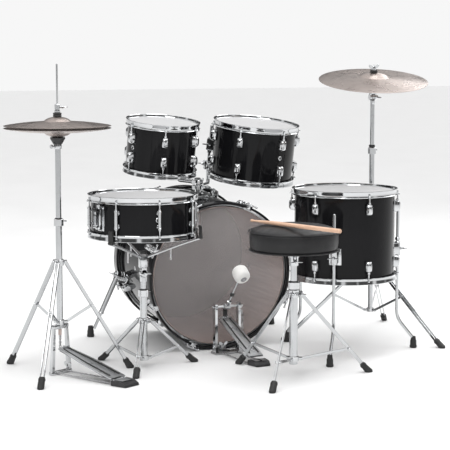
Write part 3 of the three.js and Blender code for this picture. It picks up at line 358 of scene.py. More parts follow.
# ---- Shapes --------------------------------------------------------------------------
class Maker:
    """Collects closed shapes, drawn in millimetres, into one finished piece."""

    def __init__(self, name, place=None):
        self.name = name
        self.place = place or Matrix()
        self.points, self.faces, self.slots, self.used, self.turned = [], [], [], [], []

    def add(self, points, faces, finish, place=None, turned=None):
        matrix = self.place @ place if place else self.place
        moved = [matrix @ Vector(p) for p in points]
        volume = sum(moved[f[0]].dot(moved[f[i]].cross(moved[f[i + 1]]))
                     for f in faces for i in range(1, len(f) - 1))
        if volume < 0:
            faces = [tuple(reversed(f)) for f in faces]
        start = len(self.points)
        self.points += moved
        self.turned += turned or [0.0] * len(moved)
        self.faces += [tuple(i + start for i in f) for f in faces]
        if finish not in self.used:
            self.used.append(finish)
        self.slots += [self.used.index(finish)] * len(faces)

    def lathe(self, profile, finish, place=None, sides=72):
        """A profile of (radius, height) turned about Z. It closes on itself or on the axis."""
        looped = profile[0] == profile[-1]
        points, rings, turned = [], [], []
        for r, z in profile[:-1] if looped else profile:
            if r < 1e-6:
                rings.append([len(points)] * sides)
                points.append((0, 0, z))
                turned.append(0.0)
                continue
            rings.append(range(len(points), len(points) + sides))
            points += [(r * math.cos(2 * math.pi * i / sides),
                        r * math.sin(2 * math.pi * i / sides), z) for i in range(sides)]
            turned += [r * MM] * sides
        faces = []
        following = rings[1:] + rings[:1] if looped else rings[1:]
        for low, high in zip(rings, following):
            for i in range(sides):
                j = (i + 1) % sides
                face = tuple(dict.fromkeys((low[i], low[j], high[j], high[i])))
                if len(face) > 2:
                    faces.append(face)
        self.add(points, faces, finish, place, turned)

    def rod(self, start, end, radius, finish, place=None, end_radius=None, soft=0.8, sides=20):
        """A straight round bar with softened ends."""
        start, end = Vector(start), Vector(end)
        length = (end - start).length
        top = radius if end_radius is None else end_radius
        soft = min(soft, radius / 2, top / 2, length / 3)
        profile = [(0, 0), (radius - soft, 0), (radius, soft), (top, length - soft),
                   (top - soft, length), (0, length)]
        local = facing(start, end - start)
        self.lathe(profile, finish, place @ local if place else local, sides)

    def tube(self, path, radius, finish, place=None, sides=12):
        """A round section swept along a path of points."""
        path = [Vector(p) for p in path]
        last = len(path) - 1
        side = None
        points, faces = [], []
        for k, point in enumerate(path):
            along = (path[min(k + 1, last)] - path[max(k - 1, 0)]).normalized()
            side = side or along.orthogonal()
            side = (side - along * side.dot(along)).normalized()
            other = along.cross(side)
            r = radius[k] if isinstance(radius, (list, tuple)) else radius
            for i in range(sides):
                a = 2 * math.pi * i / sides
                points.append(point + side * (r * math.cos(a)) + other * (r * math.sin(a)))
        for k in range(last):
            for i in range(sides):
                j = (i + 1) % sides
                faces.append((k * sides + i, k * sides + j,
                              (k + 1) * sides + j, (k + 1) * sides + i))
        faces += [tuple(reversed(range(sides))), tuple(range(last * sides, (last + 1) * sides))]
        self.add(points, faces, finish, place)

    def hull(self, points, finish, place=None):
        """The tight skin round a set of points."""
        mesh = bmesh.new()
        for p in points:
            mesh.verts.new(p)
        made = bmesh.ops.convex_hull(mesh, input=mesh.verts)
        inner = [g for g in made["geom_interior"] + made["geom_unused"]
                 if isinstance(g, bmesh.types.BMVert)]
        bmesh.ops.delete(mesh, geom=list(set(inner)), context="VERTS")
        bmesh.ops.dissolve_limit(mesh, angle_limit=0.01, verts=mesh.verts, edges=mesh.edges)
        mesh.verts.index_update()
        self.add([v.co.copy() for v in mesh.verts],
                 [tuple(v.index for v in f.verts) for f in mesh.faces], finish, place)
        mesh.free()

    def block(self, size, centre, finish, soft=1.0, place=None):
        """A box with rounded edges and corners."""
        soft = min(soft, min(size) * 0.45)
        near = (1, 0.7071, 0)
        offsets = [Vector(o).normalized() * soft for o in
                   ((1, 0, 0), (0, 1, 0), (0, 0, 1), (near[1], near[1], 0), (near[1], 0, near[1]),
                    (0, near[1], near[1]), (1, 1, 1))]
        points = []
        for sx in (-1, 1):
            for sy in (-1, 1):
                for sz in (-1, 1):
                    corner = Vector((sx * (size[0] / 2 - soft), sy * (size[1] / 2 - soft),
                                     sz * (size[2] / 2 - soft))) + Vector(centre)
                    points += [corner + Vector((o.x * sx, o.y * sy, o.z * sz)) for o in offsets]
        self.hull(points, finish, place)

    def strap(self, a, b, width, thick, finish, offset=0.0, place=None, end_width=None):
        """A flat bar with round ends between two (x, z) points, standing across Y."""
        points = []
        for (x, z), r in ((a, width / 2), (b, (end_width or width) / 2)):
            for i in range(16):
                c, s = math.cos(math.pi * i / 8), math.sin(math.pi * i / 8)
                points += [(x + r * c, offset + h, z + r * s)
                           for h in (-thick / 2 + 0.5, thick / 2 - 0.5)]
                points += [(x + (r - 0.6) * c, offset + h, z + (r - 0.6) * s)
                           for h in (-thick / 2, thick / 2)]
        self.hull(points, finish, place)

    def ball(self, centre, radius, finish, place=None, squash=1.0):
        profile = [(radius * math.sin(math.pi * i / 12), -radius * squash * math.cos(math.pi * i / 12))
                   for i in range(13)]
        profile[0] = (0, profile[0][1])
        profile[-1] = (0, profile[-1][1])
        local = Matrix.Translation(centre)
        self.lathe(profile, finish, place @ local if place else local, 20)

    def wing(self, finish, place, size=13.0, hub=6.0):
        """A wing screw: hub along Z, wings spread along X."""
        self.lathe([(0, 0), (hub, 0), (hub, 3), (hub * 0.7, 9), (hub * 0.55, 11), (0, 11.5)],
                   finish, place, 20)
        for side in (-1, 1):
            points = []
            for x, z, r in ((hub * 0.5, 5, 3.6), (size * 0.8, 9, 4.8), (size, 13, 4.6)):
                for i in range(10):
                    a = 2 * math.pi * i / 10
                    for y, reach in ((-1.6, 1), (1.6, 1), (0, 1.12)):
                        points.append((side * (x + r * reach * math.cos(a)), y,
                                       z + r * reach * math.sin(a)))
            self.hull(points, finish, place)

    def nut(self, finish, place, radius=5.0, height=5.0, sides=6):
        self.lathe([(0, 0), (radius * 0.9, 0), (radius, 0.7), (radius, height - 0.7),
                    (radius * 0.9, height), (0, height)], finish, place, sides)

    def mesh(self, to_frame=True):
        home = HOME if to_frame else Matrix.Scale(MM, 4)
        mesh = bpy.data.meshes.new(self.name)
        mesh.from_pydata([home @ p for p in self.points], [], self.faces)
        for key in self.used:
            mesh.materials.append(finish_material(key))
        mesh.polygons.foreach_set("material_index", self.slots)
        mesh.polygons.foreach_set("use_smooth", [True] * len(self.faces))
        mesh.set_sharp_from_angle(angle=math.radians(32))
        if any(self.turned):
            turned = mesh.attributes.new("turned", "FLOAT", "POINT")
            turned.data.foreach_set("value", self.turned)
        mesh.update()
        return mesh

    def make(self, body, slot, *nodes):
        """Puts the piece in the scene, riding on its body and standing for its nodes."""
        piece = bpy.data.objects.new(self.name, self.mesh())
        bpy.context.scene.collection.objects.link(piece)
        return settle(piece, body, slot, *nodes)


def settle(piece, body, slot, *nodes):
    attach(piece, body)
    if nodes:
        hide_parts(*nodes)
    return piece


def rounded(points, reach=14.0, steps=6):
    """A path with its inner corners rounded."""
    points = [Vector(p) for p in points]
    path = [points[0]]
    for before, corner, after in zip(points, points[1:], points[2:]):
        start = corner + (before - corner).normalized() * min(reach, (before - corner).length / 2)
        end = corner + (after - corner).normalized() * min(reach, (after - corner).length / 2)
        for i in range(steps + 1):
            t = i / steps
            path.append(start * (1 - t) ** 2 + corner * (2 * t * (1 - t)) + end * t ** 2)
    return path + [points[-1]]


# ---- Repeated fittings -----------------------------------------------------------------
def fittings_tree():
    """Geometry Nodes: copies of one fitting set round an axis and along it."""
    tree = bpy.data.node_groups.new("Repeated fittings", "GeometryNodeTree")
    face = tree.interface
    face.new_socket("Geometry", in_out="OUTPUT", socket_type="NodeSocketGeometry")
    face.new_socket("Geometry", in_out="INPUT", socket_type="NodeSocketGeometry")
    for label, kind in (("Fitting", "Object"), ("Count", "Int"), ("Radius", "Float"),
                        ("First angle", "Float"), ("Step angle", "Float"), ("Rise", "Float"),
                        ("Finish", "Material")):
        face.new_socket(label, in_out="INPUT", socket_type="NodeSocket" + kind)
    nodes, links = tree.nodes, tree.links
    source, result = nodes.new("NodeGroupInput"), nodes.new("NodeGroupOutput")

    def math_node(operation, *inputs):
        node = nodes.new("ShaderNodeMath")
        node.operation = operation
        for slot, value in enumerate(inputs):
            links.new(value, node.inputs[slot])
        return node.outputs["Value"]

    index = nodes.new("GeometryNodeInputIndex").outputs["Index"]
    angle = math_node("MULTIPLY_ADD", index, source.outputs["Step angle"],
                      source.outputs["First angle"])
    place = nodes.new("ShaderNodeCombineXYZ")
    links.new(math_node("MULTIPLY", math_node("COSINE", angle), source.outputs["Radius"]),
              place.inputs["X"])
    links.new(math_node("MULTIPLY", math_node("SINE", angle), source.outputs["Radius"]),
              place.inputs["Y"])
    links.new(math_node("MULTIPLY", index, source.outputs["Rise"]), place.inputs["Z"])
    points = nodes.new("GeometryNodePoints")
    links.new(source.outputs["Count"], points.inputs["Count"])
    links.new(place.outputs["Vector"], points.inputs["Position"])
    fitting = nodes.new("GeometryNodeObjectInfo")
    links.new(source.outputs["Fitting"], fitting.inputs["Object"])
    facing_out = nodes.new("ShaderNodeCombineXYZ")
    links.new(angle, facing_out.inputs["Z"])
    copies = nodes.new("GeometryNodeInstanceOnPoints")
    links.new(points.outputs["Points"], copies.inputs["Points"])
    links.new(fitting.outputs["Geometry"], copies.inputs["Instance"])
    links.new(facing_out.outputs["Vector"], copies.inputs["Rotation"])
    solid = nodes.new("GeometryNodeRealizeInstances")
    painted = nodes.new("GeometryNodeSetMaterial")
    links.new(copies.outputs["Instances"], solid.inputs["Geometry"])
    links.new(solid.outputs["Geometry"], painted.inputs["Geometry"])
    links.new(source.outputs["Finish"], painted.inputs["Material"])
    links.new(painted.outputs["Geometry"], result.inputs["Geometry"])
    return tree


def repeat(name, fitting, finish, count, place, radius=0.0, first=0.0, step=None, rise=0.0):
    """A plain mesh object of count copies of the fitting, in the frame, riding on nothing yet."""
    tree = bpy.data.node_groups.get("Repeated fittings") or fittings_tree()
    template = bpy.data.objects.new(name + "_one", fitting.mesh(to_frame=False))
    carrier = bpy.data.objects.new(name + "_carrier", bpy.data.meshes.new(name + "_empty"))
    for item in (template, carrier):
        bpy.context.scene.collection.objects.link(item)
    modifier = carrier.modifiers.new("Fittings", "NODES")
    modifier.node_group = tree
    sockets = {s.name: s.identifier for s in tree.interface.items_tree if s.in_out == "INPUT"}
    step = 360.0 / count if step is None else step
    for label, value in (("Fitting", template), ("Count", count), ("Radius", radius * MM),
                         ("First angle", math.radians(first)), ("Step angle", math.radians(step)),
                         ("Rise", rise * MM), ("Finish", finish_material(finish))):
        modifier[sockets[label]] = value
    graph = bpy.context.evaluated_depsgraph_get()
    mesh = bpy.data.meshes.new_from_object(carrier.evaluated_get(graph))
    if not mesh.polygons:
        raise RuntimeError(f"{name}: the repeated fittings came out empty")
    mesh.transform(HOME @ place @ Matrix.Scale(1 / MM, 4))
    mesh.name = name
    for item in (carrier, template):
        bpy.data.objects.remove(item)
    piece = bpy.data.objects.new(name, mesh)
    bpy.context.scene.collection.objects.link(piece)
    return piece


# ---- Steel-hooped drums ------------------------------------------------------------------
def drum_place(drum):
    return (shift(*drum["at"], drum["rim"]) @ turn(drum["lean"], "X") @ turn(drum["side"], "Y")
            @ shift(z=-drum["depth"] - HOOP_HEIGHT))


def over(depth):
    """Turns what is drawn for the top edge over to the bottom edge."""
    return shift(z=depth) @ Matrix.Diagonal((1, 1, -1, 1))


def shell_body(maker, radius, depth, wall=6):
    """A ply shell with its covering: bare wood inside, gloss black outside."""
    skin = radius - 1.2
    maker.lathe([(radius - wall, 1.5), (radius - wall + 2, 0.2), (skin, 0.8), (skin, depth - 0.8),
                 (radius - wall + 2, depth - 0.2), (radius - wall, depth - 1.5),
                 (radius - wall, 1.5)], "ply", sides=144)
    maker.lathe([(skin, 1.0), (radius, 1.4), (radius, depth - 1.4), (skin, depth - 1.0),
                 (skin, 1.0)], "wrap", sides=144)


def vent(maker, radius, height, angle):
    """A small eyelet through the shell."""
    place = turn(angle) @ shift(radius - 1, 0, height) @ turn(90, "Y")
    maker.lathe([(4.2, 0), (8.2, 0.6), (8.6, 1.6), (7, 2.8), (4.8, 2.6), (4.2, 0)], "chrome",
                place, 28)
    # painted shade: a matte black disc fills the eyelet in place of the dark opening into the drum
    maker.lathe([(0, 0.4), (4.6, 0.4), (4.6, 1.3), (0, 1.3)], "rubber", place, 20)


def steel_hoop(drum, side, finish="chrome"):
    """A triple-flanged hoop: ear flange, wall and turned-out lip."""
    name, r, e = drum["name"], drum["radius"], drum["depth"]
    place = drum_place(drum) @ (over(e) if side == "bottom" else Matrix())
    maker = Maker(f"{name}_{side}_hoop_steel", place)
    maker.lathe([(r + 6, e - 12), (r + 10, e - 12.4), (r + 10.4, e - 11.2), (r + 8.4, e - 9.6),
                 (r + 8, e - 8), (r + 8, e - 1.6), (r + 8.6, e + 0.4), (r + 9, e + 5),
                 (r + 10.2, e + 8.4), (r + 10, e + 9.8), (r + 8.6, e + 10), (r + 7.2, e + 8.6),
                 (r + 6.6, e + 3), (r + 5.4, e + 0.8), (r + 2.6, e - 0.6), (r + 2.6, e - 2.6),
                 (r + 6, e - 3.4), (r + 6, e - 12)], finish, sides=160)
    return maker


def drum_film(maker, radius, edge, finish, place=None):
    """The stretched film: flat middle, rolled collar and its ring in the hoop."""
    r, e = radius, edge
    maker.lathe([(0, e + 1.2), (r * 0.5, e + 1.2), (r - 11, e + 1.2), (r - 4, e + 0.8),
                 (r - 0.4, e - 0.4), (r + 1.4, e - 4), (r + 1.4, e - 8.6), (r + 0.8, e - 8.6),
                 (r + 0.8, e - 4.2), (r - 0.8, e - 0.9), (r - 4.2, e + 0.4), (r - 11, e + 0.8),
                 (r * 0.5, e + 0.8), (0, e + 0.8)], finish, place, sides=144)
    maker.lathe([(r + 1.8, e - 8.8), (r + 4.9, e - 8.8), (r + 5.2, e - 6.5), (r + 4.9, e - 4.4),
                 (r + 1.8, e - 4.4), (r + 1.8, e - 8.8)], "aluminium", place, sides=144)


def casing(maker, z, out=20.0, width=24.0, height=42.0):
    """A cast lug casing on the shell, tapering outwards."""
    points = []
    for share, wide, tall, cut in ((-0.03, 1, 1, 4), (0.12, 1, 1, 4), (0.62, 0.9, 0.88, 5),
                                   (0.88, 0.7, 0.7, 5), (1, 0.45, 0.5, 4)):
        hy, hz = width / 2 * wide, height / 2 * tall
        for sy in (-1, 1):
            for sz in (-1, 1):
                points += [(out * share, sy * (hy - cut), z + sz * hz),
                           (out * share, sy * hy, z + sz * (hz - cut)),
                           (out * share, sy * (hy - cut * 0.3), z + sz * (hz - cut * 0.3))]
    maker.hull(points, "chrome")


def tension_rod(maker, x, low, edge):
    """A rod from its casing up through the hoop's ear, with washer and square head."""
    maker.rod((x, 0, low - 3), (x, 0, low + 5), 4.6, "chrome", sides=18)
    maker.rod((x, 0, low), (x, 0, edge - 7), 2.5, "chrome", sides=14)
    maker.block((15, 15, 2.6), (x + 0.6, 0, edge - 11.2), "chrome", 1.0)
    maker.rod((x, 0, edge - 9.9), (x, 0, edge - 8.4), 5.2, "chrome", sides=20)
    maker.rod((x, 0, edge - 8.4), (x, 0, edge - 6), 4.4, "chrome", sides=20)
    maker.block((5.2, 5.2, 8), (x, 0, edge - 2.6), "chrome", 0.8)


def lug_and_rods(drum):
    """One lug station, from the lower hoop to the upper one, standing on the shell."""
    maker = Maker(drum["name"] + "_lug")
    depth = drum["depth"]
    far = depth - LUG_FROM_EDGE
    base = maker.place
    for side in (Matrix(), over(depth)):
        maker.place = base @ side
        tension_rod(maker, 10.2, far + 21, depth)
        if drum["name"] != "snare":
            casing(maker, far)
    maker.place = base
    if drum["name"] == "snare":
        low, high = LUG_FROM_EDGE - 21, depth - LUG_FROM_EDGE + 21
        maker.rod((10.8, 0, low), (10.8, 0, high), 5.6, "chrome", sides=28)
        for z in (low + 3, high - 3):
            maker.rod((10.8, 0, z - 3), (10.8, 0, z + 3), 6.7, "chrome", sides=28)
        for z in (low + 9, high - 9):
            maker.rod((-0.5, 0, z), (8, 0, z), 5, "chrome", sides=20)
            maker.rod((-0.5, 0, z), (2.2, 0, z), 7.5, "chrome", sides=24)
    return maker


def steel_drum(drum, body, shell_extra=None, batter="coated"):
    """Shell, hoops, heads and lug stations of one drum, all on one body."""
    name, depth, radius = drum["name"], drum["depth"], drum["radius"]
    place = drum_place(drum)
    shell = Maker(f"{name}_shell_finished", place)
    shell_body(shell, radius, depth)
    if shell_extra:
        shell_extra(shell)
    shell.make(body, "black_wrap", f"{name}_shell")
    for side, finish in (("batter", batter), ("bottom", "haze")):
        steel_hoop(drum, side).make(body, "chrome", f"{name}_{side}_hoop")
        head = Maker(f"{name}_{side}_film", place @ (over(depth) if side == "bottom" else Matrix()))
        drum_film(head, radius, depth, finish)
        nodes = [f"{name}_batter_head"] if side == "batter" else []
        head.make(body, "coated_head", *nodes)
    lugs = repeat(f"{name}_lug_set", lug_and_rods(drum), "chrome", drum["lugs"], place, radius,
                  drum["lug_angle"])
    settle(lugs, body, "chrome")


# ---- Bass drum -----------------------------------------------------------------------------
def bass_place():
    tilt = math.radians(BASS["lift"])
    height = BASS["hoop"] * math.cos(tilt) + BASS["rear"] * math.sin(tilt)
    return shift(z=height) @ turn(BASS["lift"] - 90, "X")


SPUR = dict(pivot=(283, 330, 241), foot=(370, 400, 0), reach=44, boss=16, thick=19)


def spur_line(side):
    pivot = Vector((side * SPUR["pivot"][0], *SPUR["pivot"][1:]))
    foot = Vector((side * SPUR["foot"][0], *SPUR["foot"][1:]))
    along = (foot - pivot).normalized()
    outward = Vector((side, 0, -0.18)).normalized()
    return pivot, foot, along, (outward - along * outward.dot(along)).normalized()


def bass_shell():
    place = bass_place()
    shell = Maker("bass_shell_finished", place)
    shell_body(shell, BASS["radius"], BASS["depth"])
    vent(shell, BASS["radius"], BASS["depth"] / 2, 180)
    shell.place = Matrix()
    for side in (-1, 1):
        pivot, _, _, axis = spur_line(side)
        inside, face = pivot - axis * SPUR["reach"], pivot - axis * (SPUR["thick"] / 2 + 0.5)
        shell.rod(inside, face, SPUR["boss"], "chrome", sides=40)
        shell.rod(face - axis * 12, face - axis * 9, SPUR["boss"] + 2, "chrome", sides=40)
        shell.rod(inside + axis * 8, inside + axis * 14, SPUR["boss"] + 13, "chrome", sides=48,
                  soft=2)
    # Tom holder base on top of the shell
    shell.block((64, 74, 12), (0, HOLDER_Y, 536), "chrome", 4)
    shell.lathe([(13.2, 532), (26, 532), (23, 541), (19.5, 545), (19.5, 551.4), (18.5, 552.4),
                 (13.2, 552.4), (13.2, 532)], "chrome", shift(0, HOLDER_Y), 48)
    shell.rod((0, HOLDER_Y - 16, 546), (0, HOLDER_Y - 30, 546), 4, "chrome")
    shell.wing("plastic", facing((0, HOLDER_Y - 28, 546), (0, -1, 0)), 15)
    for x in (-25, 25):
        for y in (-28, 28):
            shell.nut("chrome", shift(x, HOLDER_Y + y, 541.5), 4.5, 2.4, 20)
    shell.make("root", "black_wrap", "bass_shell")


def bass_end(side, film_finish):
    """One wooden hoop with its head."""
    place = bass_place() @ (over(BASS["depth"]) if side == "batter" else Matrix())
    inner, outer = BASS["radius"] + 7.2, BASS["hoop"]
    low, high = BASS["depth"] - BASS["front"], BASS["depth"] + BASS["rear"]
    hoop = Maker(f"bass_{side}_hoop_lacquered", place)
    hoop.lathe([(inner, low + 1), (inner + 1.5, low), (outer - 2, low), (outer, low + 2),
                (outer, high - 3), (outer - 1, high - 1), (outer - 3, high), (inner + 2, high),
                (inner, high - 2), (inner, low + 1)], "lacquer", sides=176)
    hoop.make("root", "black_lacquer", f"bass_{side}_hoop")
    head = Maker(f"bass_{side}_film", place)
    drum_film(head, BASS["radius"], BASS["depth"], film_finish)
    slot = "clear_head" if side == "batter" else "black_head"
    head.make("root", slot, f"bass_{side}_head")


def claw_station():
    """One bass lug station: two casings, two claws over the hoops and their T-rods."""
    maker = Maker("bass_lug")
    depth, x = BASS["depth"], BASS["rod"] - BASS["radius"]
    far = depth - BASS["lug_from_edge"]
    for side in (Matrix(), over(depth)):
        maker.place = side
        casing(maker, far, x + 3, 24, 42)
        maker.rod((x, 0, far + 14), (x, 0, far + 27), 5.6, "chrome", sides=20)
        maker.rod((x, 0, far + 20), (x, 0, depth + 22), 3, "chrome", sides=14)
        maker.block((9, 25, 30), (x - 3.4, 0, depth + 5), "chrome", 2.4)
        maker.block((19, 21, 4.6), (x - 9, 0, depth + 18.8), "chrome", 1.8)
        maker.block((4, 19, 9), (x - 16.4, 0, depth + 17), "chrome", 1.4)
        maker.rod((x, 0, depth - 6), (x, 0, depth + 22), 6.5, "chrome", sides=24, soft=1.6)
        maker.rod((x, 0, depth + 22), (x, 0, depth + 30), 4.6, "chrome", sides=20)
        maker.rod((x, -23, depth + 27), (x, 23, depth + 27), 3.1, "chrome", sides=16, soft=1.5)
        for y in (-23, 23):
            maker.ball((x, y, depth + 27), 4, "chrome")
    return maker


def bass_lugs():
    lugs = repeat("bass_lug_set", claw_station(), "chrome", BASS["lugs"], bass_place(),
                  BASS["radius"], 180 / BASS["lugs"])
    settle(lugs, "root", "chrome")


def spur_leg(side, name):
    pivot, foot, along, axis = spur_line(side)
    maker = Maker(name + "_finished")
    half = axis * SPUR["thick"] / 2
    maker.rod(pivot - half, pivot + half, SPUR["boss"], "chrome", sides=40, soft=2)
    maker.rod(pivot + half, pivot + half + axis * 3, 9, "chrome", sides=24)
    maker.wing("chrome", facing(pivot + half + axis * 2, axis), 15)
    reach = (foot - pivot).length
    middle = pivot + along * reach * 0.6
    maker.rod(pivot + along * 8, middle, 9, "tube", sides=32)
    maker.rod(middle - along * 2, middle + along * 5, 10.2, "chrome", sides=32, soft=1.5)
    maker.rod(middle, foot - along * 36, 5.5, "tube", sides=24)
    maker.lathe([(0, 0), (12.5, 0), (14, 2), (14, 8), (12.4, 12), (12.4, 22), (11, 26),
                 (10, 40), (8.5, 42), (0, 42)], "rubber", Matrix.Translation(foot), 32)
    maker.make(name, "chrome", name)


# ---- Tom holder ----------------------------------------------------------------------------
def tom_post():
    maker = Maker("tom_post_finished", shift(0, HOLDER_Y))
    maker.lathe([(0, 400), (11.8, 400), (12.5, 401), (12.5, 602), (12, 604), (0, 604)], "tube",
                sides=48)
    maker.lathe([(0, 602), (10.5, 602.5), (11, 605), (8, 606.4), (0, 606.4)], "plastic",
                sides=40)
    maker.make("tom_post", "chrome", "tom_post")


def tom_arm(drum, ring_low):
    """The L-shaped arm: a ring on the post, a bend and a forked knuckle."""
    name = drum["name"]
    joint = joint_place(name + "_tilt") - HOME_SHIFT
    maker = Maker(name + "_arm_finished")
    middle = ring_low + 8
    flat = Vector((joint.x, joint.y - HOLDER_Y, 0))
    out = flat.normalized()
    home = Vector((0, HOLDER_Y, middle))
    corner = Vector((joint.x, joint.y, middle))
    side = -1 if drum["at"][0] > 0 else 1
    maker.lathe([(13.2, ring_low), (20.5, ring_low), (21.5, ring_low + 1), (21.5, ring_low + 15),
                 (20.5, ring_low + 16), (13.2, ring_low + 16), (13.2, ring_low)], "chrome",
                shift(0, HOLDER_Y), 48)
    maker.rod(home + out * 15, home + out * 30, 10.5, "chrome", sides=32, soft=2)
    top = joint.z - 18
    maker.tube(rounded([home + out * 24, corner, (corner.x, corner.y, top)], 18, 8), 7.6,
               "chrome", sides=24)
    maker.block((26, 16, 9), (corner.x + side * 5, corner.y, top), "chrome", 3)
    maker.block((7.4, 16, 24), (corner.x + side * 14, corner.y, joint.z - 11), "chrome", 2.4)
    fork = Vector((corner.x + side * 10.3, corner.y, joint.z))
    maker.rod(fork, fork + Vector((side * 8, 0, 0)), 13, "chrome", sides=40, soft=1.4)
    maker.rod(fork, fork + Vector((side * 11, 0, 0)), 6, "chrome", sides=24)
    maker.wing("chrome", facing(fork + Vector((side * 9, 0, 0)), (side, 0, 0)), 14)
    back = turn(math.degrees(math.atan2(-out.y, -out.x)))
    screw = shift(0, HOLDER_Y, middle) @ back @ shift(20, 0, 0) @ turn(90, "Y")
    maker.wing("chrome", screw, 13, 5)
    maker.make(name + "_arm", "chrome", name + "_arm")


def tom_bracket(drum):
    """The clamp on the shell that the hanging rod passes through."""
    radius, depth = drum["radius"], drum["depth"]

    def extra(maker):
        spin = turn(drum["hang"])
        x = radius + HANG_OUT
        maker.block((5, 44, 60), (radius + 1.5, 0, depth / 2), "chrome", 2, spin)
        maker.block((HANG_OUT + 12, 28, 44), (radius + HANG_OUT / 2 + 4, 0, depth / 2), "plastic",
                    5, spin)
        maker.block((HANG_OUT + 13, 29, 9), (radius + HANG_OUT / 2 + 4, 0, depth / 2 - 19),
                    "chrome", 3, spin)
        maker.rod((x, 0, depth / 2 - 25), (x, 0, depth / 2 + 25), 9.5, "chrome", spin, sides=32)
        maker.rod((x, 10, depth / 2), (x, 20, depth / 2), 5, "chrome", spin)
        maker.wing("chrome", spin @ facing((x, 17, depth / 2), (0, 1, 0)), 14)
        for y in (-17, 17):
            for z in (-24, 24):
                maker.nut("chrome", spin @ shift(radius + 3, y, depth / 2 + z) @ turn(90, "Y"),
                          3.6, 2.4, 16)
        vent(maker, radius, depth / 2, drum["hang"] + 150)
    return extra


def hanging_tom(drum, ring_low):
    name, depth = drum["name"], drum["depth"]
    tom_arm(drum, ring_low)
    steel_drum(drum, name, tom_bracket(drum))
    rod = Maker(name + "_rod_finished", drum_place(drum) @ turn(drum["hang"]))
    x = drum["radius"] + HANG_OUT
    rod.rod((x, 0, HANG_JOINT), (x, 0, depth - 30), 5.4, "chrome", sides=24)
    rod.rod((x, 0, depth / 2 - 34), (x, 0, depth / 2 - 26), 9, "chrome", sides=24)
    rod.place = Matrix()
    joint = joint_place(name + "_tilt") - HOME_SHIFT
    rod.rod(joint - Vector((6, 0, 0)), joint + Vector((6, 0, 0)), 13, "chrome", sides=40)
    rod.make(name, "chrome", name + "_rod")


# ---- Floor tom -----------------------------------------------------------------------------
FLOOR_LEGS = (-125, -5, 115)
LEG_OUT, LEG_BEND, LEG_FOOT, LEG_TOP, LEG_BRACKET = 205, 115, 272, 520, 368


def floor_tom_brackets(maker):
    floor = FLOOR_TOM["rim"] - FLOOR_TOM["depth"] - HOOP_HEIGHT
    z, radius = LEG_BRACKET - floor, FLOOR_TOM["radius"]
    for angle in FLOOR_LEGS:
        spin = turn(angle)
        maker.block((5, 44, 58), (radius + 1.5, 0, z), "chrome", 2, spin)
        maker.block((34, 26, 44), (radius + 15, 0, z), "chrome", 6, spin)
        maker.rod((LEG_OUT, 0, z - 26), (LEG_OUT, 0, z + 26), 10.5, "chrome", spin, sides=36,
                  soft=2)
        maker.rod((LEG_OUT + 8, 0, z), (LEG_OUT + 15, 0, z), 5, "chrome", spin)
        maker.wing("chrome", spin @ facing((LEG_OUT + 12, 0, z), (1, 0, 0)), 15)
    vent(maker, radius, 150, 200)


def floor_tom_legs():
    for i, angle in enumerate(FLOOR_LEGS, 1):
        place = shift(*FLOOR_TOM["at"]) @ turn(angle)
        maker = Maker(f"floor_tom_leg_{i}_finished", place)
        path = rounded([(LEG_OUT, 0, LEG_TOP - 3), (LEG_OUT, 0, LEG_BEND),
                        (LEG_FOOT, 0, 34)], 30, 10)
        maker.tube(path, 5.5, "tube", sides=24)
        maker.ball((LEG_OUT, 0, LEG_TOP - 4), 5.5, "tube")
        maker.rod((LEG_OUT, 0, LEG_BRACKET + 30), (LEG_OUT, 0, LEG_BRACKET + 40), 9.4, "chrome",
                  sides=28, soft=1.5)
        maker.lathe([(0, 0), (11.6, 0), (13, 2), (13, 7), (11.4, 11), (11.4, 26), (9.6, 30),
                     (8.6, 40), (7, 42), (0, 42)], "rubber", shift(LEG_FOOT), 32)
        maker.make(f"floor_tom_leg_{i}", "chrome", f"floor_tom_leg_{i}")


# ---- Snare drum ------------------------------------------------------------------------------
def snare_fittings(maker):
    """Strainer body and butt plate on the shell."""
    radius, depth = SNARE["radius"], SNARE["depth"]
    spin = turn(SNARE["strainer"])
    maker.block((4, 34, 84), (radius + 1.5, 0, depth / 2), "chrome", 1.6, spin)
    maker.block((19, 25, 74), (radius + 10, 0, depth / 2), "chrome", 5, spin)
    maker.rod((radius + 12, 0, depth / 2 + 30), (radius + 12, 0, depth / 2 + 47), 6.5, "chrome",
              spin, sides=28)
    for z in (-33, 33):
        maker.nut("chrome", spin @ shift(radius + 3, 0, depth / 2 + z) @ turn(90, "Y"), 4, 3, 20)
    back = turn(SNARE["strainer"] - 180)
    maker.block((4, 32, 44), (radius + 1.5, 0, depth / 2 - 12), "chrome", 1.6, back)
    maker.block((9, 28, 26), (radius + 6, 0, depth / 2 - 14), "chrome", 3, back)
    for y in (-8, 8):
        maker.nut("steel", back @ shift(radius + 10, y, depth / 2 - 14) @ turn(90, "Y"), 3.4, 3, 16)
    vent(maker, radius, depth / 2, SNARE["strainer"] + 67)


def strainer_lever():
    place = drum_place(SNARE) @ turn(SNARE["strainer"]) @ shift(SNARE["radius"] + 26, 0, 38)
    maker = Maker("snare_strainer_lever_finished", place)
    maker.rod((0, -9, 0), (0, 9, 0), 5, "chrome", sides=28)
    maker.hull([(x, y, z) for z, w in ((-2, 7), (20, 6), (50, 6.5)) for x in (-2.2, 2.2)
                for y in (-w, w)], "chrome")
    maker.block((11, 18, 12), (4, 0, 57), "plastic", 4)
    maker.make("snare_lever", "chrome", "snare_strainer_lever")


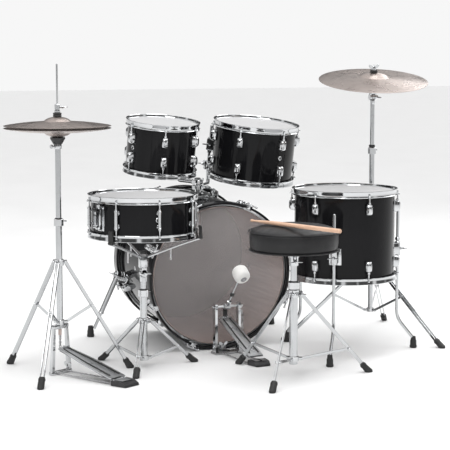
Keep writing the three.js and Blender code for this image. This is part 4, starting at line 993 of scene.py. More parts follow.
def snare_wires():
    """Coiled wires across the bottom film, with their end plates and straps."""
    wire = Maker("snare_wire")
    turns, span = 60, 240
    path = [(span * (i / (turns * 4) - 0.5), 0.9 * math.cos(i * math.pi / 2),
             0.9 * math.sin(i * math.pi / 2)) for i in range(turns * 4 + 1)]
    wire.tube(path, 0.45, "steel", sides=4)
    count, gap = 16, 2.4
    place = (drum_place(SNARE) @ turn(SNARE["strainer"]) @ shift(0, -gap * (count - 1) / 2, -3.2)
             @ turn(-90, "X"))
    wires = repeat("snare_wire_set", wire, "steel", count, place, step=0, rise=gap)
    settle(wires, "snare_drum", "steel_rod")
    maker = Maker("snare_wire_ends", drum_place(SNARE) @ turn(SNARE["strainer"]))
    for side in (-1, 1):
        maker.block((14, 40, 2), (side * 124, 0, -3.2), "steel", 0.6)
        maker.block((52, 20, 0.8), (side * 152, 0, -2.6), "plastic", 0.3)
    maker.make("snare_drum", "steel_rod")


# ---- Tripods ---------------------------------------------------------------------------------
def tripod(stand):
    start = stand["base"] + 11
    reach = start + (stand["feet"] - start) * stand["pivot"]
    return (start, stand["collar"]), (start, stand["low"]), \
        (reach, stand["collar"] * (1 - stand["pivot"])), (stand["feet"], 0)


def tripod_leg(maker, stand, place, single=False):
    """Two strips side by side, a rivet at the brace and a rubber boot on the floor."""
    top, _, joint, foot = tripod(stand)
    run = Vector((foot[0] - top[0], 0, -top[1])).normalized()
    end = Vector((foot[0], 0, 0)) - run * 32
    tip = Vector((foot[0], 0, 0)) - run * 12
    for offset in ((0,) if single else (-6.1, 6.1)):
        maker.strap(top, (tip.x, tip.z), 12 if single else 10, 4.6 if single else 2.6, "tube",
                    offset, place)
    for x, z in (top, joint):
        maker.rod((x, -9.5, z), (x, 9.5, z), 3.2, "chrome", place, sides=16)
        for y in (-9, 7.4):
            maker.rod((x, y, z), (x, y + 1.6, z), 4.6, "chrome", place, sides=16)
    points = []
    across = Vector((-run.z, 0, run.x))
    for i in range(18):
        c, s = math.cos(math.pi * i / 9), math.sin(math.pi * i / 9)
        points += [(foot[0] - 1.5 + 12.5 * c, 10 * s, 0), (foot[0] - 1.5 + 14 * c, 11.4 * s, 1.6),
                   (foot[0] - 2 + 13.4 * c, 11 * s, 8)]
        for centre, r in ((end, 9.6), (end - run * 8, 8.2)):
            points.append(centre + across * (r * c) + Vector((0, (r + 1.6) * s, 0)))
    maker.hull(points, "rubber", place)
    maker.hull([p for i in range(18) for p in
                (end - run * 3 + across * (10.6 * math.cos(math.pi * i / 9))
                 + Vector((0, 11.8 * math.sin(math.pi * i / 9), 0)),
                 end + run * 3 + across * (10.9 * math.cos(math.pi * i / 9))
                 + Vector((0, 12 * math.sin(math.pi * i / 9), 0)))], "rubber", place)


def tripod_brace(maker, stand, place):
    _, low, joint, _ = tripod(stand)
    maker.strap(low, joint, 9, 4, "tube", 0, place)


def collar(maker, stand, height, tall, ears=8.0):
    """A collar on the base tube with an ear for each leg or brace."""
    base = stand["base"]
    low, high = height - tall / 2, height + tall / 2
    maker.lathe([(base + 0.3, low), (base + 3.6, low), (base + 4.6, low + 1.2),
                 (base + 4.6, high - 1.2), (base + 3.6, high), (base + 0.3, high),
                 (base + 0.3, low)], "chrome", sides=40)
    for angle in stand["legs"]:
        maker.block((15, ears, min(tall * 0.7, 17)), (base + 9, 0, height), "chrome", 1.6,
                    turn(angle))


def side_screw(maker, stand, height, angle, finish="chrome"):
    """A wing screw standing out of a collar."""
    spin = turn(angle)
    reach = stand["base"]
    maker.rod((reach + 3, 0, height), (reach + 15, 0, height), 3.2, "steel", spin)
    maker.rod((reach + 2, 0, height), (reach + 9, 0, height), 6, "chrome", spin, sides=24)
    maker.wing(finish, spin @ shift(reach + 13, 0, height) @ turn(90, "Y") @ turn(90), 13, 5)


def base_tube(maker, stand, low_end):
    base, bore, top = stand["base"], stand["upper"] + 0.4, stand["clamp"]
    maker.lathe([(bore, low_end), (base - 0.6, low_end), (base, low_end + 0.6), (base, top),
                 (bore, top), (bore, low_end)], "tube", sides=48)


def height_clamp(maker, stand, angle=60):
    """The clamp at the top of a tube: a band, a pinch block, a nylon bush, a wing screw."""
    base, bore, z = stand["base"], stand["upper"] + 0.4, stand["clamp"]
    maker.lathe([(bore, z - 12.5), (base + 4, z - 12.5), (base + 5.6, z - 11), (base + 5.6, z + 10),
                 (base + 4, z + 11.5), (bore, z + 11.5), (bore, z - 12.5)], "chrome", sides=44)
    maker.lathe([(bore, z + 11), (base + 2, z + 11), (base + 1.4, z + 14.4), (bore, z + 14.8),
                 (bore, z + 11)], "plastic", sides=44)
    spin = turn(angle)
    maker.block((13, 13, 19), (base + 8, 0, z), "chrome", 2.4, spin)
    side_screw(maker, stand, z, angle)


def spread_base(maker, stand, low_end, single=False, extra_low=8):
    base_tube(maker, stand, low_end)
    collar(maker, stand, stand["collar"], stand["tall"], 8)
    collar(maker, stand, stand["low"], 16, extra_low)
    side_screw(maker, stand, stand["collar"], stand["legs"][0] + stand["screw"])
    height_clamp(maker, stand)
    for angle in stand["legs"]:
        tripod_leg(maker, stand, turn(angle), single)
        tripod_brace(maker, stand, turn(angle))


def snare_stand():
    stand = SNARE_STAND
    home = shift(*stand["at"])
    base = Maker("snare_stand_base_finished", home)
    spread_base(base, stand, 22)
    base.make("root", "chrome", "snare_stand_base")
    tube = Maker("snare_stand_tube_finished", home)
    upper, z = stand["upper"], SNARE_TILT
    tube.lathe([(0, 146), (upper, 146), (upper, z - 15), (0, z - 15)], "tube", sides=40)
    tube.block((23, 12, 28), (0, 0, z - 17), "chrome", 3)
    tube.rod((0, -5.8, z), (0, 5.8, z), 12.4, "chrome", sides=40)
    tube.make("snare_upper_tube", "chrome", "snare_stand_upper_tube")
    basket = Maker("snare_basket_finished", home @ shift(0, 0, z))
    hub, bottom = BASKET_HUB - z, SNARE["rim"] - SNARE["depth"] - 2 * HOOP_HEIGHT - z
    rim = SNARE["radius"] + 10
    for side in (-1, 1):
        basket.rod((0, side * 6.3, 0), (0, side * 12, 0), 12.4, "chrome", sides=40)
        basket.hull([(x, y * side, h) for x, h in ((-8, 0), (8, 0), (-9, hub), (9, hub))
                     for y in (6.5, 12)], "chrome")
    basket.wing("chrome", facing((0, -11, 0), (0, -1, 0)), 16)
    basket.lathe([(0, 18), (14, 18), (16.5, 22), (16.5, hub + 6), (12, hub + 14), (7, hub + 16),
                  (0, hub + 16)], "chrome", sides=36)
    basket.lathe([(0, hub + 15), (12, hub + 15), (13, hub + 19), (12, hub + 24), (0, hub + 25)],
                 "plastic", sides=28)
    for angle in (-21, 99, 219):
        spin = turn(angle)
        path = rounded([(8, 0, hub), (rim * 0.72, 0, bottom - 26), (rim + 6, 0, bottom - 7)], 18)
        basket.tube(path, 4.6, "tube", spin)
        basket.block((25, 16, 7.4), (rim + 3, 0, bottom - 4.4), "rubber", 2.6, spin)
        basket.block((11, 18, 46), (rim + 7.6, 0, bottom + 13), "rubber", 4, spin)
        basket.block((9, 16, 8), (rim + 4, 0, bottom + 34), "rubber", 3, spin)
        basket.rod((rim * 0.5, 0, hub + (bottom - 26 - hub) * 0.62), (rim * 0.5, 0, hub - 8), 3,
                   "steel", spin)
    basket.make("snare_drum", "chrome", "snare_stand_basket")


# ---- Cymbals -----------------------------------------------------------------------------------
def cymbal(maker, radius, place, flip=False):
    """A spun cymbal: bell, bow and a thin edge, with its hole."""
    rise, shoulder, hole = radius * BOW_SHARE, radius * 0.27, 7
    curve = []
    for i in range(25):
        r = radius - (radius - shoulder) * i / 24
        share = (radius - r) / (radius - shoulder)
        curve.append((r, rise * (1 - (1 - share) ** 1.7)))
    inner = [(shoulder * 0.9, rise + 3.2), (shoulder * 0.76, rise + 8.4),
             (shoulder * 0.55, rise + 12.4), (shoulder * 0.36, rise + 14.4), (hole, rise + CUP)]
    curve += inner
    under = list(reversed(curve))
    over_line = [(r, z + CYMBAL_THICK * (0.55 if i == 0 else 1)) for i, (r, z) in enumerate(curve)]
    place = place @ Matrix.Diagonal((1, 1, -1, 1)) if flip else place
    maker.lathe(under + over_line + [under[0]], "bronze", place, 176)


HIHAT_RADIUS, HIHAT_MIDDLE, HIHAT_OPEN = 178, 829, 7
CRASH_RADIUS, CRASH_TILT, CRASH_RISE = 203, 904, 62
BOW_SHARE, CUP, CYMBAL_THICK, BELL_CLEARANCE = 0.075, 15, 1.5, 0.1


def bell_top(radius):
    """How far over a cymbal's edge the washer on its bell rests."""
    return radius * BOW_SHARE + CUP + CYMBAL_THICK + BELL_CLEARANCE


def hihat():
    stand = HIHAT
    home = shift(*stand["at"])
    edge, low_edge = HIHAT_MIDDLE + HIHAT_OPEN / 2, HIHAT_MIDDLE - HIHAT_OPEN / 2
    bell = edge + bell_top(HIHAT_RADIUS)
    seat = low_edge - bell_top(HIHAT_RADIUS) - 0.3
    base = Maker("hihat_base_finished", home)
    low = stand["low"] - 12
    spread_base(base, stand, low)
    spin = turn(-60)
    heel = 264
    base.block((16, 70, 16), (0, 0, low - 3), "chrome", 4, spin)
    for side in (-1, 1):
        lean = spin @ turn(side * 90)
        base.hull([(x, y, z) for x, z, w in ((24, low + 3, 5), (33, low + 3, 5), (34, 3, 7),
                                             (46, 3, 7)) for y in (-w, w)], "chrome", lean)
        base.rod((6, side * 24, 6), (heel + 18, side * 24, 6), 2.5, "steel", spin, sides=12)
    base.block((20, 92, 9.6), (0, 0, 5), "chrome", 2.4, spin)
    base.rod((0, 34, 20), (0, 34, 3), 3, "steel", spin)
    base.wing("chrome", spin @ shift(0, 34, 16), 11, 4.5)
    heel_w = 39
    base.hull([(x, y * s, z) for s in (-1, 1) for x, z, y in (
        (heel + 3, 1, heel_w - 1), (heel + 3, 18, heel_w - 2), (heel + 40, 17, heel_w - 4),
        (heel + 60, 8, heel_w - 6), (heel + 64, 1, heel_w - 7), (heel + 3, 0.2, heel_w - 3),
        (heel + 63, 0.2, heel_w - 9))], "plastic", spin)
    base.block((36, 50, 2), (heel + 24, 0, 18.4), "aluminium", 0.8, spin)
    for y in (-26, 26):
        base.rod((heel + 1, y, 15), (heel + 9, y, 15), 5.4, "chrome", spin)
    base.make("root", "chrome", "hihat_base")

    tube = Maker("hihat_tube_finished", home)
    tube.lathe([(3.6, 402), (stand["upper"], 402), (stand["upper"], 762), (3.6, 762), (3.6, 402)],
               "tube", sides=40)
    tube.lathe([(3.6, 757), (12.4, 757), (13.2, 759), (13.2, 770), (12.4, 772.4), (3.6, 772.4),
                (3.6, 757)], "chrome", sides=40)
    tube.lathe([(3.6, 772), (14.6, 772), (25, seat - 5), (25, seat - 1.4), (24, seat - 0.3),
                (3.6, seat - 0.3), (3.6, 772)], "plastic", sides=56)
    tube.lathe([(3.6, seat - 1), (16, seat - 1), (16.4, seat - 0.2), (5.4, seat - 0.1),
                (5.4, seat + 12), (3.6, seat + 12), (3.6, seat - 1)], "black_felt", sides=40)
    tube.rod((12, 0, 765), (24, 0, 765), 2.6, "steel", turn(200))
    tube.lathe([(0, 0), (6, 0), (6.6, 1), (6.6, 5), (6, 6), (0, 6)], "chrome",
               turn(200) @ shift(22, 0, 765) @ turn(90, "Y"), 16)
    cymbal(tube, HIHAT_RADIUS, shift(0, 0, low_edge), flip=True)
    tube.make("hihat_upper_tube", "cymbal_bronze", "hihat_upper_tube", "hihat_bottom_cymbal")

    rod = Maker("hihat_rod_finished", home)
    rod.rod((0, 0, low - 16), (0, 0, 1037), 3, "chrome", sides=20)
    rod.rod((0, 0, low - 32), (0, 0, low - 12), 6, "nylon", sides=6, soft=0.6)
    rod.block((9, 6, 12), (0, 0, low - 36), "steel", 1.6)
    rod.make("hihat_pull_rod", "steel_rod", "hihat_pull_rod")
    link = Maker("chain_link")
    ring = [(3.4 * math.cos(a), 0, 5.6 * math.sin(a))
            for a in (2 * math.pi * i / 14 for i in range(15))]
    link.tube(ring, 1.2, "steel", sides=6)
    chain = repeat("hihat_chain", link, "spring", 6, home @ shift(0, 0, 93), step=90, rise=6.6)
    settle(chain, "hihat_pull_rod", "steel_rod")

    clutch = Maker("hihat_clutch_finished", home)
    clutch.lathe([(3.6, bell - 20), (9.6, bell - 20), (10, bell - 19), (10, bell - 4),
                  (3.6, bell - 4), (3.6, bell - 20)], "chrome", sides=8)
    clutch.lathe([(3.6, bell - 5), (5.5, bell - 5), (5.5, bell + 40), (3.6, bell + 40),
                  (3.6, bell - 5)], "chrome", sides=28)
    for z in (bell + 0.4, bell + 7.2):
        clutch.lathe([(5.6, z), (13.4, z), (14.4, z + 1.4), (14.4, z + 4.8), (13.4, z + 6.4),
                      (5.6, z + 6.4), (5.6, z)], "black_felt", sides=36)
    clutch.lathe([(5.6, bell + 14), (9, bell + 14), (10, bell + 15.4), (10, bell + 20),
                  (7.4, bell + 22), (9, bell + 24), (9, bell + 40), (7, bell + 43),
                  (5.6, bell + 43), (5.6, bell + 14)], "chrome", sides=32)
    clutch.rod((8, 0, bell + 32), (16, 0, bell + 32), 3, "steel")
    clutch.wing("chrome", shift(14, 0, bell + 32) @ turn(90, "Y") @ turn(90), 11, 4.6)
    cymbal(clutch, HIHAT_RADIUS, shift(0, 0, edge))
    clutch.make("hihat_clutch", "cymbal_bronze", "hihat_clutch", "hihat_top_cymbal")

    pedal = Maker("hihat_footboard_finished", home @ spin @ shift(heel, 0, 18))
    footboard(pedal, heel - 10, 86 - 18, 42, 74, 7)
    pedal.make("hihat_footboard", "cast_aluminium", "hihat_footboard")


def footboard(maker, run, rise, toe, heel, thick, place=None):
    """A cast board from its hinge up to the toe in -X, with black grip strips."""
    length = math.hypot(run, rise)
    lean = Matrix.Rotation(math.atan2(rise, run), 4, "Y")
    lean = place @ lean if place else lean
    middle, soft = length * 0.55, 1.4

    def layer(x0, x1, shrink, low, high, finish):
        points = []
        for x in (x0, x1):
            share = max(0.0, (-x - middle) / (length - middle))
            wide = (heel / 2 - 2) + (toe / 2 - heel / 2 + 2) * share - shrink
            for y in (-wide, wide):
                points += [(x, y, low + soft * 0.4), (x, y, high - soft * 0.4),
                           (x, y * 0.96, low), (x, y * 0.96, high)]
        maker.hull(points, finish, lean)
    layer(-1, -middle, 0, 0, thick - 1, "aluminium")
    layer(-middle + 0.5, -length + 2, 0, 0, thick - 1, "aluminium")
    layer(-6, -length + 8, 1.5, -3.4, 1.2, "plastic")
    for side in (-1, 1):
        a = [(x, side * w * k, z) for x, w in ((-18, heel * 0.30), (-middle, heel * 0.27),
                                               (-length + 14, toe * 0.26))
             for k in (0.82, 1.12) for z in (thick - 1.6, thick + 0.6)]
        maker.hull(a[:8], "rubber", lean)
        maker.hull(a[4:], "rubber", lean)
    count = int(length / 9)
    for i in range(3, count - 2):
        x = -9 * i
        share = max(0.0, (-x - middle) / (length - middle))
        wide = (heel * 0.2) + (toe * 0.2 - heel * 0.2) * share
        maker.block((3.6, 2 * wide, 1.6), (x, 0, thick - 0.8), "aluminium", 0.6, lean)
    maker.rod((-length + 7, 0, thick - 2), (-length + 7, 0, thick + 4), 6, "chrome", lean)


# ---- Crash cymbal stand ------------------------------------------------------------------------
def crash_stand():
    stand = CRASH
    home = shift(*stand["at"])
    base = Maker("cymbal_stand_base_finished", home)
    base_tube(base, stand, stand["low"] - 6)
    base.lathe([(0, 93), (9, 93), (9.4, 94), (9.4, 97), (0, 97)], "plastic", sides=32)
    collar(base, stand, stand["low"], 14, 9.6)
    height_clamp(base, stand)
    base.lathe([(8.4, 718), (11, 718), (11.6, 720), (11.6, 724), (11, 726), (8.4, 726),
                (8.4, 718)], "plastic", sides=36)
    base.make("root", "chrome", "cymbal_stand_base")
    ring = Maker("cymbal_stand_collar_finished", home)
    collar(ring, stand, stand["collar"], stand["tall"], 4)
    side_screw(ring, stand, stand["collar"], stand["legs"][0] + stand["screw"])
    ring.make("cymbal_collar", "chrome", "cymbal_stand_collar")
    for i, angle in enumerate(stand["legs"], 1):
        leg = Maker(f"cymbal_stand_leg_{i}_finished", home @ turn(angle))
        tripod_leg(leg, stand, Matrix())
        leg.make(f"cymbal_leg_{i}", "chrome", f"cymbal_stand_leg_{i}")
        brace = Maker(f"cymbal_stand_brace_{i}_finished", home @ turn(angle))
        tripod_brace(brace, stand, Matrix())
        brace.make(f"cymbal_brace_{i}", "chrome", f"cymbal_stand_brace_{i}")

    z = CRASH_TILT
    tube = Maker("cymbal_stand_tube_finished", home)
    tube.lathe([(0, 574), (8, 574), (8, z - 14), (0, z - 14)], "tube", sides=40)
    tube.block((11, 21, 26), (0, 0, z - 15), "chrome", 3)
    tube.rod((-5.2, 0, z), (5.2, 0, z), 11.4, "chrome", sides=40)
    tube.make("cymbal_upper_tube", "chrome", "cymbal_stand_upper_tube")

    tilted = home @ shift(0, 0, z) @ turn(11, "X") @ turn(-3, "Y")
    bell = CRASH_RISE + bell_top(CRASH_RADIUS)
    tilter = Maker("cymbal_tilter_finished", tilted)
    for side in (-1, 1):
        tilter.rod((side * 6.1, 0, 0), (side * 13, 0, 0), 11.4, "chrome", sides=40)
        tilter.block((6.4, 13, 22), (side * 9.6, 0, 9), "chrome", 1.8)
    tilter.block((26, 13, 11), (0, 0, 18), "chrome", 3)
    tilter.wing("chrome", facing((12, 0, 0), (1, 0, 0)), 14)
    tilter.rod((0, 0, 20), (0, 0, bell + 30), 3.6, "chrome")
    tilter.rod((0, 0, 24), (0, 0, bell - 22), 6.4, "chrome", sides=28)
    tilter.lathe([(0, bell - 22), (15, bell - 22), (15.6, bell - 20.6), (0, bell - 20)], "chrome",
                 sides=40)
    tilter.lathe([(0, bell - 20), (13, bell - 20), (14, bell - 18), (14, bell - 6.4),
                  (12.6, bell - 4.2), (0, bell - 4.2)], "black_felt", sides=40)
    tilter.rod((0, 0, bell - 8), (0, 0, bell + 8), 5.6, "plastic", sides=24)
    tilter.lathe([(0, bell + 0.4), (12.6, bell + 0.4), (14, bell + 2.4), (14, bell + 9),
                  (12.6, bell + 11), (0, bell + 11)], "black_felt", sides=40)
    tilter.lathe([(0, bell + 11), (11, bell + 11), (11, bell + 12.6), (0, bell + 12.6)], "chrome",
                 sides=40)
    tilter.wing("chrome", shift(0, 0, bell + 12.6), 16, 6.4)
    tilter.make("cymbal_tilter", "chrome", "cymbal_stand_tilter")
    crash = Maker("crash_cymbal_finished", tilted)
    cymbal(crash, CRASH_RADIUS, shift(0, 0, CRASH_RISE))
    crash.make("crash_cymbal", "cymbal_bronze", "crash_cymbal")


# ---- Kick pedal ----------------------------------------------------------------------------------
def kick_pedal():
    home = shift(0, -76, 0) @ turn(7)
    axle_z, side, heel, toe_z, hinge_z = 170, 47, 213, 124, 24
    frame_piece = Maker("kick_pedal_frame_finished", home)
    frame_piece.block((112, 40, 7), (0, 0, 4), "steel", 2)
    frame_piece.block((38, 52, 7), (0, 22, 4), "steel", 2)
    frame_piece.block((36, 8, 26), (0, 47, 17), "chrome", 2)
    frame_piece.rod((0, 30, 6), (0, 30, 26), 3.4, "chrome")
    frame_piece.wing("chrome", shift(0, 30, 20), 13, 5)
    for x in (-side, side):
        frame_piece.hull([(x + dx * w, dy * d, z) for z, w, d in (
            (6, 5.5, 17), (26, 4.6, 9)) for dx in (-1, 1) for dy in (-1, 1)], "chrome")
        frame_piece.hull([(x + dx * w, dy * d, z) for z, w, d in (
            (26, 4.6, 9), (110, 4.4, 6.4), (166, 4.8, 9)) for dx in (-1, 1)
            for dy in (-1, 1)], "chrome")
        frame_piece.lathe([(4.8, -6), (11, -6), (12.6, -4.6), (12.6, 4.6), (11, 6), (4.8, 6),
                           (4.8, -6)], "chrome", shift(x, 0, axle_z) @ turn(90, "Y"), 40)
        frame_piece.rod((x * 0.6, -6, 5), (x * 0.6, -heel - 8, 5), 2.6, "steel", sides=12)
    frame_piece.hull([(x * w, y - heel, z) for x in (-1, 1) for y, z, w in (
        (-3, 0.2, 33), (-3, 1.4, 36), (-3, 18, 34), (-38, 16, 31), (-54, 6, 27), (-55, 1, 26),
        (-54, 0.2, 25))], "plastic")
    frame_piece.block((44, 30, 2), (0, -heel - 22, 18.2), "aluminium", 0.8)
    frame_piece.block((10, 31, 2.4), (0, -heel - 22, 18.6), "rubber", 0.8)
    frame_piece.make("root", "chrome", "kick_pedal_frame")
    coil = Maker("kick_spring", home @ shift(side + 13, 0, 0))
    turns, low, high = 15, 70, 140
    helix = [(5.6 * math.cos(2 * math.pi * i / 12), 5.6 * math.sin(2 * math.pi * i / 12),
              low + (high - low) * i / (turns * 12)) for i in range(turns * 12 + 1)]
    coil.tube(helix, 1.1, "spring", sides=6)
    coil.rod((0, 0, 30), (0, 0, 72), 2.6, "chrome")
    coil.nut("chrome", shift(0, 0, 44), 5, 5)
    coil.block((22, 9, 10), (-8, 0, 32), "chrome", 2)
    coil.rod((0, 0, 138), (0, 0, 152), 2.2, "steel")
    coil.make("root", "steel_rod")

    board = Maker("kick_footboard_finished", home @ shift(0, -heel, hinge_z))
    rise, run = toe_z - hinge_z, heel + 20
    footboard(board, run, rise, 52, 60, 7, turn(-90))
    board.block((17, 2.6, 40), (0, run - 6, rise + 20), "rubber", 1)
    board.block((20, 5, 9), (0, run - 6, rise + 5), "chrome", 1.4)
    board.make("kick_footboard", "cast_aluminium", "kick_footboard")

    beater = Maker("kick_beater_finished", home @ shift(0, 0, axle_z) @ turn(39, "X"))
    beater.rod((-side - 12, 0, 0), (side + 16, 0, 0), 4.4, "chrome", sides=6, soft=0.5)
    beater.rod((-12, 0, 0), (12, 0, 0), 10.4, "steel", sides=40, soft=1.4)
    beater.block((16, 14, 26), (0, 0, 15), "chrome", 3)
    beater.rod((0, -7, 18), (0, -14, 18), 3, "steel")
    beater.block((9, 7, 18), (side + 12, 0, -7), "chrome", 2)
    beater.rod((0, 0, 4), (0, 0, 176), 3.1, "chrome", sides=20)
    beater.block((14, 12, 14), (0, 0, 62), "plastic", 3)
    face = shift(0, 0, 166) @ turn(90, "X")
    beater.lathe([(0, -26), (17, -26), (22, -24.6), (26, -20), (28, -12), (28.4, 0), (28, 12),
                  (26, 19), (21, 24), (15, 25.6), (0, 25.6)], "felt", face, 64)
    beater.lathe([(0, 24), (11, 24), (11.4, 25.6), (10, 27), (0, 27)], "grey", face, 40)
    beater.lathe([(0, 26), (3.4, 26), (3.4, 28), (2.8, 28.6), (0, 28.6)], "steel", face, 6)
    beater.make("kick_beater", "beater_felt", "kick_beater")


# ---- Throne and stick ------------------------------------------------------------------------------
SEAT = dict(radius=153, low=422, seam=66)
VOXEL, MOST_SWELL, EVENING_PASSES = 0.0055, 0.006, 40


def throne_metal():
    stand = THRONE
    home = shift(*stand["at"])
    base = Maker("throne_base_finished", home)
    spread_base(base, stand, 40, single=True)
    base.make("root", "chrome", "throne_base")
    low = SEAT["low"]
    post = Maker("throne_post_finished", home)
    post.lathe([(0, 158), (11, 158), (11, low - 30), (0, low - 30)], "tube", sides=44)
    post.lathe([(0, low - 50), (15, low - 50), (16, low - 48), (16, low - 24), (18, low - 20),
                (27, low - 7), (27, low - 5), (0, low - 5)], "chrome", sides=44)
    post.block((108, 108, 5), (0, 0, low - 3.4), "steel", 2)
    for x in (-42, 42):
        for y in (-42, 42):
            post.nut("steel", shift(x, y, low - 9), 5, 4)
    post.wing("chrome", shift(0, -14, low - 36) @ turn(90, "X"), 15, 5)
    post.make("throne_post", "chrome", "throne_post")


def seat_form():
    """The cushion before it is filled: a round drum, a little smaller than its cover."""
    maker = Maker("throne_cushion", shift(*THRONE["at"]))
    r, low = SEAT["radius"] - 3, SEAT["low"] + 1
    maker.lathe([(0, low), (r * 0.5, low), (r - 8, low), (r - 2, low + 2), (r, low + 8),
                 (r + 1, low + 22), (r + 1.6, low + 38), (r + 0.6, low + 54), (r - 1.6, low + 62),
                 (r - 5, low + 66), (r * 0.9, low + 71), (r * 0.72, low + 77), (r * 0.4, low + 82),
                 (0, low + 84)], "vinyl", sides=96)
    return maker


def fill_cushion(form):
    """Swells the form like foam under a cover. Its travel is capped, then evened out."""
    scene = bpy.context.scene
    remesh = form.modifiers.new("Skin", "REMESH")
    remesh.mode, remesh.voxel_size = "VOXEL", VOXEL
    graph = bpy.context.evaluated_depsgraph_get()
    form.data = bpy.data.meshes.new_from_object(form.evaluated_get(graph))
    form.modifiers.clear()
    rest = [v.co.copy() for v in form.data.vertices]
    cloth = form.modifiers.new("Filling", "CLOTH")
    settings = cloth.settings
    settings.use_pressure, settings.uniform_pressure_force = True, 4.0
    settings.effector_weights.gravity = 0
    settings.quality = 5
    cloth.point_cache.frame_start, cloth.point_cache.frame_end = 1, 20
    for step in range(1, 21):
        scene.frame_set(step)
    graph = bpy.context.evaluated_depsgraph_get()
    swollen = bpy.data.meshes.new_from_object(form.evaluated_get(graph))
    form.modifiers.clear()
    scene.frame_set(1)
    travel = [vertex.co - before for vertex, before in zip(swollen.vertices, rest)]
    travel = [t * min(1, MOST_SWELL / max(t.length, 1e-9)) for t in travel]
    pairs = [tuple(edge.vertices) for edge in swollen.edges]
    for _ in range(EVENING_PASSES):
        total, count = [t.copy() for t in travel], [1] * len(travel)
        for a, b in pairs:
            total[a] += travel[b]
            total[b] += travel[a]
            count[a] += 1
            count[b] += 1
        travel = [t / n for t, n in zip(total, count)]
    for vertex, before, moved in zip(swollen.vertices, rest, travel):
        vertex.co = before + moved
    form.data = swollen


def throne_seat():
    maker = seat_form()
    form = bpy.data.objects.new("throne_cushion", maker.mesh())
    bpy.context.scene.collection.objects.link(form)
    fill_cushion(form)
    low = (SEAT["low"] + 0.6) * MM
    for vertex in form.data.vertices:
        vertex.co.z = max(vertex.co.z, low)
    form.data.materials.clear()
    form.data.materials.append(finish_material("vinyl"))
    form.data.polygons.foreach_set("use_smooth", [True] * len(form.data.polygons))
    smooth = form.modifiers.new("Cover", "SUBSURF")
    smooth.levels = smooth.render_levels = 1
    settle(form, "throne_seat", "seat_vinyl", "throne_seat")
    seam = Maker("throne_seam", shift(*THRONE["at"]))
    r, top = SEAT["radius"] - 2, SEAT["low"] + SEAT["seam"]
    seam.lathe([(r + 1.7 * math.cos(2 * math.pi * i / 10), top + 1.7 * math.sin(2 * math.pi * i / 10))
                for i in range(10)] + [(r + 1.7, top)], "vinyl", sides=120)
    seam.lathe([(r - 9, SEAT["low"] + 0.5), (r - 4, SEAT["low"] + 0.5), (r - 2.4, SEAT["low"] + 2),
                (r - 2.4, SEAT["low"] + 5), (r - 9, SEAT["low"] + 6), (r - 9, SEAT["low"] + 0.5)],
               "vinyl", sides=120)
    seam.make("throne_seat", "seat_vinyl")
    stitch = Maker("stitch")
    stitch.tube([(0, -2.2, -0.6), (0.6, -1.2, 0.2), (0.7, 1.2, 0.2), (0, 2.2, -0.6)], 0.5,
                "thread", sides=6)
    stitches = repeat("throne_stitches", stitch, "thread", 150,
                      shift(*THRONE["at"]) @ shift(0, 0, top - 6), r + 3.4)
    settle(stitches, "throne_seat", "seat_vinyl")


def drum_stick():
    tip, butt = Vector((-49, -422, 518)), Vector((103, -800, 518))
    maker = Maker("drum_stick_finished", facing(tip, butt - tip))
    length = (butt - tip).length
    maker.lathe([(0, 0), (2.4, 0.6), (4.2, 3), (4.9, 6.5), (4.5, 10), (3.4, 13), (3.1, 16),
                 (3.6, 26), (5.2, 60), (6.8, length * 0.25), (7.1, length * 0.3),
                 (7.1, length - 3), (6.4, length - 0.8), (0, length)], "hickory", sides=40)
    maker.make("throne_post", "stick_wood", "drum_stick")


# ---- Stage -------------------------------------------------------------------------------------------
CAMERA_PLACE, CAMERA_PITCH, CAMERA_TURN = (-1965, -5175, 1106.95), 6.727, 21
SENSOR = 36


def area_light(name, place, aim, size, energy):
    lamp = bpy.data.lights.new(name, "AREA")
    lamp.shape, lamp.size, lamp.size_y, lamp.energy = "RECTANGLE", size[0], size[1], energy
    holder = bpy.data.objects.new(name, lamp)
    holder.location = place
    holder.rotation_euler = (Vector(aim) - Vector(place)).to_track_quat("-Z", "Y").to_euler()
    bpy.context.scene.collection.objects.link(holder)


